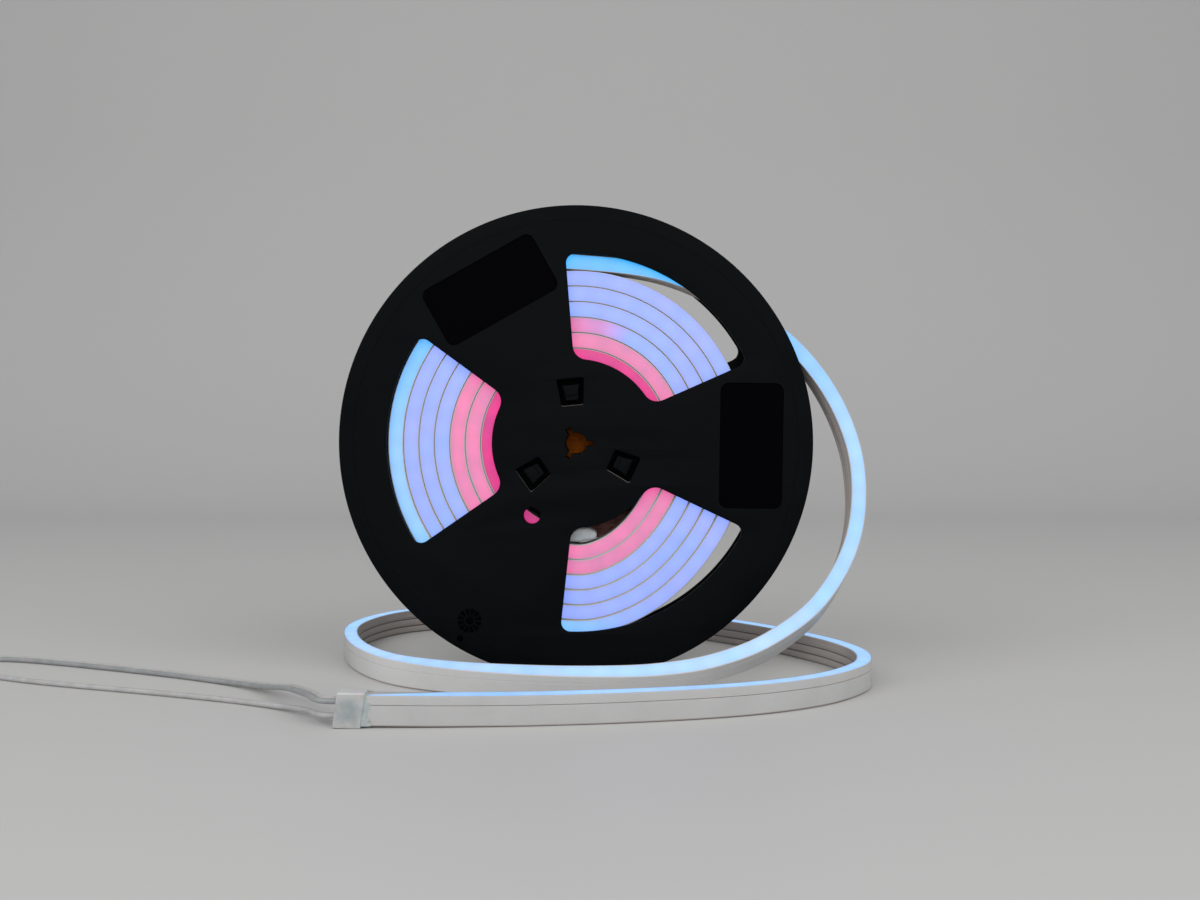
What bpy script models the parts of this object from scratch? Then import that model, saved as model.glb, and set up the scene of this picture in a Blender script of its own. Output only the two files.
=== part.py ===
"""LED neon strip wound on a black plastic reel, its free end looped round the reel on the floor.

Metres, +Z up. The reel stands on its rim with its axle along Y and its front towards -Y.
The origin is on the floor under the middle of the reel.
"""

import math

import bmesh
import bpy
from mathutils import Vector

MM = 0.001

# Reel
REEL_RADIUS = 0.0900
FLANGE_THICKNESS = 0.0018
FLANGE_SPACING = 0.0124
RIM_SEGMENTS = 64
HUB_RADIUS = 0.0297
HUB_WALL = 0.0015
SPIGOT_DEPTH = 0.0014
SPIGOT_CLEARANCE = 0.0003
FACE_CLEARANCE = 0.0003
PATTERN_TURN = math.radians(-0.8)

# Windows between the spokes
WINDOW_OUTER_RADIUS = 0.0719
WINDOW_INNER_RADIUS = 0.0320
WINDOW_INNER_CORNER = 0.0055
WINDOW_OUTER_CORNER = 0.0035
SPOKE_SIDE_ANGLE = math.radians(24.6)
SPOKE_SIDE_OFFSET = 0.00173
BACK_WINDOW_OUTER_RADIUS = 0.0729
BACK_WINDOW_INNER_RADIUS = 0.0380
BACK_WINDOW_TURN = math.radians(2.7)

# Label recesses on two of the spokes
LABEL_HEIGHT = 0.0477
LABEL_WIDTH = 0.0240
LABEL_CORNER_RADIUS = 0.0032
LABEL_CENTRE_RADIUS = 0.0665
LABEL_DEPTH = 0.0004

# Spindle bore with key slots
BORE_RADIUS = 0.0041
KEY_SLOT_RADIUS = 0.0065
KEY_SLOT_WIDTH = 0.0020
BOSS_RADIUS = 0.0085

# Snap windows in the front half, and the posts of the back half that stand in them
SNAP_CENTRE_RADIUS = 0.0196
SNAP_TURN = math.radians(-24.7)
SNAP_OUTER_WIDTH = 0.0104
SNAP_INNER_WIDTH = 0.0082
SNAP_LENGTH = 0.0101
SNAP_POST_MARGIN = 0.0018
SNAP_POST_SINK = 0.0006

# Round hole in the front half
PEEP_HOLE_RADIUS = 0.00315
PEEP_HOLE_CENTRE_RADIUS = 0.0321
PEEP_HOLE_TURN = math.radians(238.6)

# Brown disc set in the back of the reel
DISC_RADIUS = 0.0105
DISC_THICKNESS = 0.0004
DISC_CLEARANCE = 0.0003

# Section of the strip: its lit face looks along +Y of the section
STRIP_WIDTH = 0.0056
STRIP_HEIGHT = 0.0100
DIFFUSER_DEPTH = 0.0030
DIFFUSER_EDGE = 0.0005
SEAM = 0.0003
CHANNEL_SIDE_WALL = 0.0012
CHANNEL_FLOOR = 0.0014
BOARD_THICKNESS = 0.0008
BOARD_CLEARANCE = 0.0003
BOARD_TOP_GAP = 0.0006

# Turns on the hub
TURN_GAP = 0.0003
TURN_PITCH = STRIP_WIDTH + TURN_GAP
FIRST_TURN_GAP = 0.00085
TURN_SEGMENTS = 24
FIRST_TURN_ANGLE = math.radians(265)
WOUND_START = math.radians(2)
WOUND_END = math.radians(2320)
STEP_FROM = math.radians(296)
STEP_TO = math.radians(356)
BUMP_FADE = 0.04
# Angle clockwise from the first turn's start, in degrees, and how far the turn lies out of round, in mm
TURN_BUMPS = [
    (0, 2.3), (54, 0.55), (117, 0.1), (173, 0.0), (240, -0.6), (280, -0.25), (295, 0.85), (310, 1.4), (325, 1.85),
    (340, 2.35), (351, 2.7),
]

# Free run of the strip: where the middle of its section lies, in mm, and where its lit face looks.
# It leaves the top of the reel, bows out on the right, turns its lit face up, passes in front of
# the reel, goes round behind it and ends in front again.
FREE_ROUTE = [
    ((-2, -0.2, 159.1), (0, -1, 0)),
    ((33, -0.2, 154.4), (0, -1, 0.05)),
    ((60, -0.2, 142.6), (0.02, -1, 0.05)),
    ((82.5, -0.3, 126.6), (0.05, -1, 0.1)),
    ((98, -2, 105.3), (0.1, -0.97, 0.18)),
    ((105.5, -6.5, 81), (0.1, -0.96, 0.24)),
    ((103, -15, 54), (0, -0.93, 0.35)),
    ((89.5, -24.5, 31.5), (-0.05, -0.86, 0.5)),
    ((70, -32, 17.5), (-0.08, -0.78, 0.63)),
    ((49.5, -37, 10.5), (-0.04, -0.74, 0.68)),
    ((29.5, -40, 7.4), (0, -0.64, 0.77)),
    ((8, -41.4, 6.6), (0, -0.55, 0.83)),
    ((-17, -39.5, 6.4), (-0.06, -0.46, 0.89)),
    ((-45, -31.5, 6.1), (-0.12, -0.3, 0.95)),
    ((-71, -13, 5.6), (-0.1, -0.12, 0.99)),
    ((-90.5, 21, 5.3), (-0.03, -0.02, 1)),
    ((-97, 60, 5.2), (0, 0, 1)),
    ((-83, 93, 5.2), (0, 0.02, 1)),
    ((-48, 108.5, 5.2), (0, 0.02, 1)),
    ((-3, 106, 5.2), (0, 0, 1)),
    ((40.5, 88, 5.2), (0, 0, 1)),
    ((75.5, 58, 5.2), (0, 0, 1)),
    ((99, 25.5, 5.2), (0, 0, 1)),
    ((108, 3, 5.2), (0, 0, 1)),
    ((108.5, -13, 5.2), (0, 0, 1)),
    ((103, -29, 5.2), (0, 0, 1)),
    ((86, -47.5, 5.2), (0, 0, 1)),
    ((59.5, -61.5, 5.2), (0, 0, 1)),
    ((24.5, -70.5, 5.2), (0, -0.02, 1)),
    ((-11.5, -75.5, 5.2), (0, -0.03, 1)),
    ((-41, -77.5, 5.4), (0, -0.03, 1)),
    ((-60, -78, 5.65), (0, -0.03, 1)),
    ((-72, -78, 5.8), (0, -0.03, 1)),
]
FREE_POINT_SPACING = 0.0125
FIRST_TURN_LIFT = 0.00025
BUTT_GAP = 0.0003
END_SEGMENT = 0.0025

# Inner end cap
INNER_CAP_LENGTH = 0.0112
INNER_CAP_WIDTH = 0.0048
INNER_CAP_NOSE = 0.0024
TONGUE_LENGTH = 0.0045
TONGUE_CLEARANCE = 0.0004

# Outer end cap: a cup over the strip's end with a hole for each wire
OUTER_CAP_LENGTH = 0.0091
OUTER_CAP_WALL = 0.0005
OUTER_CAP_CLEARANCE = 0.0002
OUTER_CAP_POCKET = 0.0045
OUTER_CAP_EDGE = 0.0004

# Lead wires
WIRE_DIAMETER = 0.0019
WIRE_HOLE_CLEARANCE = 0.0002
WIRE_SINK = 0.0022
WIRE_POINT_SPACING = 0.0056
UPPER_WIRE_HEIGHT = 0.0084
LOWER_WIRE_HEIGHT = 0.0035
WIRE_PAIR_OFFSET = 0.00135
# Routes in mm from the cap to the connector; the upper two wires lie side by side along one route
WIRE_PAIR_ROUTE = [
    (-81, -77, 8.5), (-86.5, -68.5, 8.3), (-93, -57.5, 7.2), (-99.5, -46.5, 5.6), (-110, -33, 3), (-124, -20.5, 1.5),
    (-143, -9.5, 1.1), (-165, 1, 1.1), (-187, 10.5, 1.1), (-209, 19.3, 1.1), (-228, 25.5, 1.1), (-243, 27, 1.1),
    (-256, 24.5, 1.4), (-265, 21.5, 2.2),
]
LOWER_WIRE_ROUTE = [
    (-81, -77, 3.5), (-86, -70, 3), (-92, -63, 2.2), (-101, -56, 1.4), (-115, -48.5, 1.1), (-132, -41.5, 1.1),
    (-151, -34.5, 1.1), (-171, -27.5, 1.1), (-190, -21, 1.1), (-209, -13.5, 1.1), (-228, -4, 1.1), (-245, 6, 1.1),
    (-258, 13, 1.5), (-266, 15.5, 2.3),
]

# Connector at the end of the leads
CONNECTOR_LENGTH = 0.0140
CONNECTOR_WIDTH = 0.0096
CONNECTOR_HEIGHT = 0.0050
CONNECTOR_EDGE = 0.0005
CONNECTOR_WAY_WIDTH = 0.0023
CONNECTOR_WAY_PITCH = 0.0030
CONNECTOR_PLACE = Vector((-0.2720, 0.0190, 0.0026))
CONNECTOR_WIRE_SINK = 0.0030
CONNECTOR_LATCH_LENGTH = 0.0060
CONNECTOR_LATCH_WIDTH = 0.0036
CONNECTOR_LATCH_HEIGHT = 0.0008
PIN_RADIUS = 0.0005
PIN_LENGTH = 0.0060
CRIMP_RADIUS = 0.0008
CRIMP_LENGTH = 0.0030

FLANGE_INNER_Y = FLANGE_SPACING / 2
FLANGE_OUTER_Y = FLANGE_INNER_Y + FLANGE_THICKNESS
HUB_BORE_RADIUS = HUB_RADIUS - HUB_WALL
CUT_MARGIN = 0.002
EMBED = 0.0006
AXIS = Vector((0, 0, REEL_RADIUS))
FIRST_TURN_RADIUS = HUB_RADIUS + FIRST_TURN_GAP + STRIP_WIDTH / 2


def clear_scene():
    for item in list(bpy.data.objects):
        bpy.data.objects.remove(item, do_unlink=True)


def make_collection(name):
    collection = bpy.data.collections.new(name)
    bpy.context.scene.collection.children.link(collection)
    return collection


def plain_material(name, colour, roughness, metallic=0.0):
    material = bpy.data.materials.new(name)
    material.use_nodes = True
    shader = material.node_tree.nodes["Principled BSDF"]
    shader.inputs["Base Color"].default_value = (*colour, 1.0)
    shader.inputs["Roughness"].default_value = roughness
    shader.inputs["Metallic"].default_value = metallic
    return material


def polar(radius, angle):
    return Vector((radius * math.cos(angle), radius * math.sin(angle)))


def turned(points, angle):
    """The outline turned about the reel's axis."""
    cosine, sine = math.cos(angle), math.sin(angle)
    return [Vector((p.x * cosine - p.y * sine, p.x * sine + p.y * cosine)) for p in points]


def arc(centre, radius, start, end, segments):
    step = (end - start) / segments
    return [Vector(centre) + polar(radius, start + step * i) for i in range(segments + 1)]


def circle(radius, segments, centre=(0, 0)):
    """A closed outline with a corner straight below its centre."""
    return arc(centre, radius, -math.pi / 2, math.pi * 1.5, segments)[:-1]


def rounded_rectangle(width, height, corner, segments=3):
    points = []
    for quarter, (x, y) in enumerate([(1, 1), (-1, 1), (-1, -1), (1, -1)]):
        centre = (x * (width / 2 - corner), y * (height / 2 - corner))
        start = quarter * math.pi / 2
        points += arc(centre, corner, start, start + math.pi / 2, segments)
    return points


def window_outline(inner_radius, outer_radius):
    """Window between two spokes, its middle towards +X: two arcs joined by sides that follow the spokes."""
    half_gap = math.radians(60)
    side_angle = SPOKE_SIDE_ANGLE - half_gap
    along = polar(1, side_angle)
    inward = polar(1, side_angle + math.pi / 2)
    inner_offset = SPOKE_SIDE_OFFSET + WINDOW_INNER_CORNER
    inner_reach = inner_radius + WINDOW_INNER_CORNER
    inner_centre = inward * inner_offset + along * math.sqrt(inner_reach ** 2 - inner_offset ** 2)
    outer_offset = SPOKE_SIDE_OFFSET + WINDOW_OUTER_CORNER
    outer_reach = outer_radius - WINDOW_OUTER_CORNER
    outer_centre = inward * outer_offset + along * math.sqrt(outer_reach ** 2 - outer_offset ** 2)

    side_normal = side_angle - math.pi / 2
    inner_touch = math.atan2(inner_centre.y, inner_centre.x)
    outer_touch = math.atan2(outer_centre.y, outer_centre.x)
    lower_half = arc(inner_centre, WINDOW_INNER_CORNER, inner_touch + math.pi, side_normal + math.pi * 2, 4)
    lower_half += arc(outer_centre, WINDOW_OUTER_CORNER, side_normal, outer_touch, 4)
    lower_half += arc((0, 0), outer_radius, outer_touch, 0, 6)[1:]
    upper_half = [Vector((p.x, -p.y)) for p in reversed(lower_half[:-1])]
    inner_arc = arc((0, 0), inner_radius, -inner_touch, inner_touch, 6)[1:-1]
    return lower_half + upper_half + inner_arc


def window_outlines(inner_radius, outer_radius, turn):
    outline = window_outline(inner_radius, outer_radius)
    return [turned(outline, turn + math.radians(60 + 120 * i)) for i in range(3)]


def bore_outline():
    """Round bore with three key slots."""
    half_angle = math.asin(KEY_SLOT_WIDTH / 2 / BORE_RADIUS)
    points = []
    for slot in range(3):
        middle = PATTERN_TURN + math.radians(120 * slot)
        along = polar(1, middle)
        across = polar(KEY_SLOT_WIDTH / 2, middle + math.pi / 2)
        points += [along * KEY_SLOT_RADIUS - across, along * KEY_SLOT_RADIUS + across]
        points += arc((0, 0), BORE_RADIUS, middle + half_angle, middle + math.radians(120) - half_angle, 6)
    return points


def snap_outline(index, margin=0.0):
    """Tapered snap window, or the post that stands in it with a margin all round."""
    inner = SNAP_CENTRE_RADIUS - SNAP_LENGTH / 2 + margin
    outer = SNAP_CENTRE_RADIUS + SNAP_LENGTH / 2 - margin
    half_inner = SNAP_INNER_WIDTH / 2 - margin
    half_outer = SNAP_OUTER_WIDTH / 2 - margin
    points = [Vector((inner, -half_inner)), Vector((outer, -half_outer))]
    points += [Vector((outer, half_outer)), Vector((inner, half_inner))]
    return turned(points, SNAP_TURN + math.radians(120 * (index + 1)))


def poly_spline(curve, points, cyclic):
    spline = curve.splines.new("POLY")
    spline.points.add(len(points) - 1)
    for spline_point, point in zip(spline.points, points):
        spline_point.co = (*point, 1.0) if len(point) == 3 else (*point, 0.0, 1.0)
    spline.use_cyclic_u = cyclic
    return spline


def flat_piece(name, outlines, front_y, back_y, collection):
    """A flat piece with its face towards -Y, made of closed outlines in the plane of the reel."""
    curve = bpy.data.curves.new(name, "CURVE")
    curve.dimensions = "2D"
    curve.fill_mode = "BOTH"
    curve.extrude = (back_y - front_y) / 2
    for outline in outlines:
        poly_spline(curve, outline, True)
    piece = bpy.data.objects.new(name, curve)
    piece.location = AXIS + Vector((0, (front_y + back_y) / 2, 0))
    piece.rotation_euler = (math.pi / 2, 0, 0)
    collection.objects.link(piece)
    return as_mesh(piece, collection)


def as_mesh(item, collection):
    """The curve as a mesh object of the same name and place, its caps welded on."""
    bpy.context.view_layer.update()
    name = item.name
    evaluated = item.evaluated_get(bpy.context.evaluated_depsgraph_get())
    mesh = bpy.data.meshes.new_from_object(evaluated)
    place = item.matrix_world.copy()
    bpy.data.objects.remove(item, do_unlink=True)
    work = bmesh.new()
    work.from_mesh(mesh)
    bmesh.ops.remove_doubles(work, verts=work.verts, dist=0.00001)
    work.to_mesh(mesh)
    work.free()
    piece = bpy.data.objects.new(name, mesh)
    piece.matrix_world = place
    collection.objects.link(piece)
    return piece


def box(name, size, collection):
    mesh = bpy.data.meshes.new(name)
    work = bmesh.new()
    bmesh.ops.create_cube(work, size=1.0)
    bmesh.ops.scale(work, vec=size, verts=work.verts)
    work.to_mesh(mesh)
    work.free()
    piece = bpy.data.objects.new(name, mesh)
    collection.objects.link(piece)
    return piece


def combine(piece, tool, operation):
    """Joins the tool to the piece, or cuts it out of the piece, and keeps the tool as a hidden guide."""
    modifier = piece.modifiers.new(tool.name, "BOOLEAN")
    modifier.operation = operation
    modifier.object = tool
    hide_guide(tool)


def hide_guide(guide):
    guide.hide_render = True
    guide.display_type = "WIRE"


def finish(piece, material, smooth_angle=math.radians(30)):
    piece.data.materials.clear()
    piece.data.materials.append(material)
    if piece.type == "MESH":
        piece.data.shade_smooth()
        piece.data.set_sharp_from_angle(angle=smooth_angle)


def front_half(parts, guides, material):
    outlines = [circle(REEL_RADIUS, RIM_SEGMENTS)]
    outlines += window_outlines(WINDOW_INNER_RADIUS, WINDOW_OUTER_RADIUS, PATTERN_TURN)
    flange = flat_piece("reel_front_half", outlines, -FLANGE_OUTER_Y, -FLANGE_INNER_Y, parts)

    spigot_outline = circle(HUB_BORE_RADIUS - SPIGOT_CLEARANCE, 48)
    spigot_back = -FLANGE_INNER_Y + SPIGOT_DEPTH
    spigot = flat_piece("front_spigot", [spigot_outline], -FLANGE_INNER_Y - EMBED, spigot_back, guides)
    combine(flange, spigot, "UNION")

    holes = [bore_outline()] + [snap_outline(i) for i in range(3)]
    holes.append(circle(PEEP_HOLE_RADIUS, 16, polar(PEEP_HOLE_CENTRE_RADIUS, PEEP_HOLE_TURN)))
    cutter = flat_piece("front_holes", holes, -FLANGE_OUTER_Y - CUT_MARGIN, spigot_back + CUT_MARGIN, guides)
    combine(flange, cutter, "DIFFERENCE")

    label = [p + Vector((LABEL_CENTRE_RADIUS, 0)) for p in
             rounded_rectangle(LABEL_WIDTH, LABEL_HEIGHT, LABEL_CORNER_RADIUS)]
    labels = [turned(label, PATTERN_TURN + math.radians(120 * i)) for i in range(2)]
    label_back = -FLANGE_OUTER_Y + LABEL_DEPTH
    recess = flat_piece("label_recesses", labels, -FLANGE_OUTER_Y - CUT_MARGIN, label_back, guides)
    combine(flange, recess, "DIFFERENCE")
    finish(flange, material)


def back_half(parts, guides, material):
    outlines = [circle(REEL_RADIUS, RIM_SEGMENTS)]
    back_turn = PATTERN_TURN + BACK_WINDOW_TURN
    outlines += window_outlines(BACK_WINDOW_INNER_RADIUS, BACK_WINDOW_OUTER_RADIUS, back_turn)
    flange = flat_piece("reel_back_half", outlines, FLANGE_INNER_Y, FLANGE_OUTER_Y, parts)

    barrel_outlines = [circle(HUB_RADIUS, 48), circle(HUB_BORE_RADIUS, 48)]
    barrel_front = -FLANGE_INNER_Y + FACE_CLEARANCE
    barrel = flat_piece("hub_barrel", barrel_outlines, barrel_front, FLANGE_INNER_Y + EMBED, guides)
    combine(flange, barrel, "UNION")

    boss_front = -FLANGE_INNER_Y + SPIGOT_DEPTH + FACE_CLEARANCE
    boss = flat_piece("hub_boss", [circle(BOSS_RADIUS, 32)], boss_front, FLANGE_INNER_Y + EMBED, guides)
    combine(flange, boss, "UNION")

    posts = [snap_outline(i, SNAP_POST_MARGIN) for i in range(3)]
    post_front = -FLANGE_OUTER_Y + SNAP_POST_SINK
    snap_posts = flat_piece("snap_posts", posts, post_front, FLANGE_INNER_Y + EMBED, guides)
    combine(flange, snap_posts, "UNION")

    cut_back = FLANGE_OUTER_Y + CUT_MARGIN
    bore = flat_piece("back_bore", [bore_outline()], boss_front - CUT_MARGIN, cut_back, guides)
    combine(flange, bore, "DIFFERENCE")

    seat_y = FLANGE_OUTER_Y - DISC_THICKNESS - 2 * DISC_CLEARANCE
    seat_outline = circle(DISC_RADIUS + DISC_CLEARANCE, 32)
    seat = flat_piece("disc_seat", [seat_outline], seat_y, cut_back, guides)
    combine(flange, seat, "DIFFERENCE")
    finish(flange, material)
    return seat_y


def back_disc(seat_y, parts, material):
    front_y = seat_y + DISC_CLEARANCE
    disc = flat_piece("back_disc", [circle(DISC_RADIUS, 32)], front_y, front_y + DISC_THICKNESS, parts)
    finish(disc, material)


def channel_section():
    """U-shaped channel with its mouth towards the lit face."""
    half = STRIP_WIDTH / 2
    bottom = -STRIP_HEIGHT / 2
    mouth = STRIP_HEIGHT / 2 - DIFFUSER_DEPTH - SEAM
    inside = half - CHANNEL_SIDE_WALL
    floor = bottom + CHANNEL_FLOOR
    return [(-half, bottom), (half, bottom), (half, mouth), (inside, mouth), (inside, floor), (-inside, floor),
            (-inside, mouth), (-half, mouth)]


def diffuser_section():
    half = STRIP_WIDTH / 2
    face = STRIP_HEIGHT / 2
    foot = face - DIFFUSER_DEPTH
    edge = DIFFUSER_EDGE
    return [(-half, foot), (half, foot), (half, face - edge), (half - edge, face), (-half + edge, face),
            (-half, face - edge)]


def board_section():
    half = BOARD_THICKNESS / 2
    bottom = -STRIP_HEIGHT / 2 + CHANNEL_FLOOR + BOARD_CLEARANCE
    top = STRIP_HEIGHT / 2 - DIFFUSER_DEPTH - SEAM - BOARD_TOP_GAP
    return [(-half, bottom), (half, bottom), (half, top), (-half, top)]


def section_guide(name, points, guides):
    """A closed section, drawn clockwise so that the ends of what it is swept along face outwards."""
    curve = bpy.data.curves.new(name, "CURVE")
    curve.dimensions = "2D"
    curve.fill_mode = "NONE"
    poly_spline(curve, points[::-1], True)
    guide = bpy.data.objects.new(name, curve)
    guides.objects.link(guide)
    hide_guide(guide)
    return guide


def through_knots(knots, position):
    """Value of a smooth curve through (position, value) knots that rise in position."""
    index = 1
    while index < len(knots) - 3 and position > knots[index + 1][0]:
        index += 1
    (p0, v0), (p1, v1), (p2, v2), (p3, v3) = knots[index - 1:index + 3]
    share = (position - p1) / (p2 - p1)
    slope_1 = (v2 - v0) / (p2 - p0) * (p2 - p1)
    slope_2 = (v3 - v1) / (p3 - p1) * (p2 - p1)
    square, cube = share ** 2, share ** 3
    return (v1 * (2 * cube - 3 * square + 1) + slope_1 * (cube - 2 * square + share)
            + v2 * (3 * square - 2 * cube) + slope_2 * (cube - square))


def bump_knots():
    first = TURN_BUMPS[-1]
    second = TURN_BUMPS[0]
    third = TURN_BUMPS[1]
    return [(first[0] - 360, first[1])] + TURN_BUMPS + [(second[0] + 360, second[1]), (third[0] + 360, third[1])]


def turn_radius(angle):
    """Radius of the strip's middle at an angle wound on, clockwise from the first turn's start."""
    turns, rest = divmod(angle, 2 * math.pi)
    share = min(max((rest - STEP_FROM) / (STEP_TO - STEP_FROM), 0), 1)
    step = share ** 2 * (3 - 2 * share)
    out_of_round = through_knots(bump_knots(), math.degrees(rest)) * MM
    out_of_round *= 1 - BUMP_FADE * (turns + step)
    return FIRST_TURN_RADIUS + TURN_PITCH * (turns + step) + out_of_round


def wound_point(angle):
    """The strip's middle in the plane of the reel, measured from the reel's axis."""
    return polar(turn_radius(angle), FIRST_TURN_ANGLE - angle)


def in_reel_plane(point):
    """A point of the reel's own plane as a place beside the reel's axis."""
    return Vector((point.x, 0, point.y))


def wound_points(start, end):
    step = 2 * math.pi / TURN_SEGMENTS
    first = math.floor(start / step) + 1
    last = math.ceil(end / step) - 1
    angles = [start] + [step * i for i in range(first, last + 1)] + [end - END_SEGMENT / turn_radius(end), end]
    if angles[1] - angles[0] < step / 4:
        angles.pop(1)
    if angles[-2] - angles[-3] < step / 4:
        angles.pop(-3)
    return [wound_point(angle) for angle in angles]


def wound_piece(name, section, start, parts, material):
    """A spiral of the section in the plane of the reel, with its lit face towards -Y."""
    curve = bpy.data.curves.new(name, "CURVE")
    curve.dimensions = "3D"
    curve.twist_mode = "Z_UP"
    curve.bevel_mode = "OBJECT"
    curve.bevel_object = section
    curve.use_fill_caps = True
    poly_spline(curve, [(p.x, p.y, 0.0) for p in wound_points(start, WOUND_END)], False)
    piece = bpy.data.objects.new(name, curve)
    piece.location = AXIS
    piece.rotation_euler = (math.pi / 2, 0, 0)
    parts.objects.link(piece)
    finish(piece, material)


def smooth_route(points, spacing, lead=0.0):
    """Points along one smooth curve through the given points, evenly spaced after a short first segment."""
    positions = [0.0]
    for a, b in zip(points, points[1:]):
        positions.append(positions[-1] + (b - a).length)
    before = points[0] * 2 - points[1]
    after = points[-1] * 2 - points[-2]
    positions = [2 * positions[0] - positions[1]] + positions + [2 * positions[-1] - positions[-2]]
    ends = [before] + list(points) + [after]
    length = positions[-2]
    count = round((length - lead) / spacing)
    samples = [lead + (length - lead) * i / count for i in range(count + 1)]
    if lead:
        samples.insert(0, 0.0)
    return [knot_vector(positions, ends, sample) for sample in samples]


def knot_vector(positions, values, position):
    size = len(values[0])
    axes = [through_knots(list(zip(positions, [v[k] for v in values])), position) for k in range(size)]
    return Vector(axes)


def free_route():
    """Places and facings along the free run, the first of them on the wound turn that it carries on."""
    knots = []
    for angle, lift in [(BUTT_GAP / turn_radius(WOUND_END), 0), (math.radians(6), FIRST_TURN_LIFT)]:
        place = wound_point(WOUND_END + angle)
        place += place.normalized() * lift
        knots.append(Vector((place.x, 0, place.y + REEL_RADIUS, 0, -MM, 0)))
    for place, facing in FREE_ROUTE:
        knots.append(Vector((*place, *facing)) * MM)
    route = smooth_route(knots, FREE_POINT_SPACING, END_SEGMENT)
    return [(Vector(p[:3]), Vector(p[3:]).normalized()) for p in route]


def headings(points):
    result = []
    for i in range(len(points)):
        ahead = (points[min(i + 1, len(points) - 1)] - points[i]).normalized()
        behind = (points[i] - points[max(i - 1, 0)]).normalized()
        result.append((ahead + behind).normalized())
    return result


def facing_tilts(points, facings):
    """Tilt at each point that turns a section carried without twist so that it faces as asked."""
    directions = headings(points)
    carried = directions[0].to_track_quat("-Z", "Y")
    tilts = []
    for i, direction in enumerate(directions):
        if i:
            carried = directions[i - 1].rotation_difference(direction) @ carried
        untwisted = carried @ Vector((0, 1, 0))
        wanted = facings[i] - direction * facings[i].dot(direction)
        tilts.append(math.atan2(untwisted.cross(wanted).dot(direction), untwisted.dot(wanted)))
    return tilts


def free_piece(name, section, route, parts, material):
    """The section swept along the free route, facing as the route says."""
    places = [place for place, facing in route]
    facings = [facing for place, facing in route]
    curve = bpy.data.curves.new(name, "CURVE")
    curve.dimensions = "3D"
    curve.twist_mode = "MINIMUM"
    curve.bevel_mode = "OBJECT"
    curve.bevel_object = section
    curve.use_fill_caps = True
    spline = poly_spline(curve, places, False)
    for spline_point, tilt in zip(spline.points, facing_tilts(places, facings)):
        spline_point.tilt = tilt
    piece = bpy.data.objects.new(name, curve)
    parts.objects.link(piece)
    finish(piece, material)


def inner_cap(parts, guides, material):
    """Plug on the strip's inner end, lying level, with a tongue that follows the channel."""
    start = AXIS + in_reel_plane(wound_point(WOUND_START))
    heading = in_reel_plane(wound_point(WOUND_START + math.radians(10)) - wound_point(WOUND_START)).normalized()
    tilt_room = STRIP_WIDTH / 2 * abs(heading.z)
    cap = box("inner_end_cap", (INNER_CAP_LENGTH, STRIP_HEIGHT, INNER_CAP_WIDTH), parts)
    cap.location = start + Vector((BUTT_GAP + tilt_room + INNER_CAP_LENGTH / 2, 0, 0))
    nose = cap.modifiers.new("rounded_edges", "BEVEL")
    nose.width = INNER_CAP_NOSE
    nose.segments = 2
    nose.limit_method = "WEIGHT"
    weights = cap.data.attributes.new("bevel_weight_edge", "FLOAT", "EDGE")
    for edge in cap.data.edges:
        ends = [cap.data.vertices[v].co for v in edge.vertices]
        weights.data[edge.index].value = 1.0 if all(v.x > 0 for v in ends) else 0.0

    tongue_width = STRIP_WIDTH - 2 * CHANNEL_SIDE_WALL - 2 * TONGUE_CLEARANCE
    floor = -STRIP_HEIGHT / 2 + CHANNEL_FLOOR + TONGUE_CLEARANCE
    mouth = STRIP_HEIGHT / 2 - DIFFUSER_DEPTH - SEAM - TONGUE_CLEARANCE
    back_reach = BUTT_GAP + tilt_room + EMBED
    tongue = box("inner_cap_tongue", (TONGUE_LENGTH + back_reach, mouth - floor, tongue_width), guides)
    tongue.location = start + heading * (TONGUE_LENGTH - back_reach) / 2 + Vector((0, -(mouth + floor) / 2, 0))
    tongue.rotation_euler = (0, -math.atan2(heading.z, heading.x), 0)
    combine(cap, tongue, "UNION")
    finish(cap, material)


def outer_cap(route, parts, guides, material):
    """Cup over the strip's outer end, with one hole for each wire."""
    end, facing = route[-1]
    margin = 2 * (OUTER_CAP_WALL + OUTER_CAP_CLEARANCE)
    size = (OUTER_CAP_LENGTH, STRIP_WIDTH + margin, STRIP_HEIGHT + margin)
    cap = box("outer_end_cap", size, parts)
    cap.location = outer_cap_centre(route)
    edges = cap.modifiers.new("rounded_edges", "BEVEL")
    edges.width = OUTER_CAP_EDGE
    edges.segments = 2
    edges.limit_method = "NONE"

    reach = OUTER_CAP_POCKET + CUT_MARGIN
    pocket_size = (reach, STRIP_WIDTH + 2 * OUTER_CAP_CLEARANCE, STRIP_HEIGHT + 2 * OUTER_CAP_CLEARANCE)
    pocket = box("outer_cap_pocket", pocket_size, guides)
    pocket.location = cap.location + Vector((OUTER_CAP_LENGTH / 2 - OUTER_CAP_POCKET + reach / 2, 0, 0))
    combine(cap, pocket, "DIFFERENCE")

    for name, exit_point in wire_exits(route).items():
        radius = WIRE_DIAMETER / 2 + WIRE_HOLE_CLEARANCE
        hole = rod("hole_for_" + name, radius, OUTER_CAP_LENGTH, 12, guides)
        hole.location = Vector((cap.location.x - OUTER_CAP_LENGTH / 2, exit_point.y, exit_point.z))
        hole.rotation_euler = (0, math.pi / 2, 0)
        combine(cap, hole, "DIFFERENCE")
    finish(cap, material)


def outer_cap_centre(route):
    end = route[-1][0]
    return end + Vector((OUTER_CAP_POCKET - BUTT_GAP - OUTER_CAP_LENGTH / 2, 0, 0))


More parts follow.
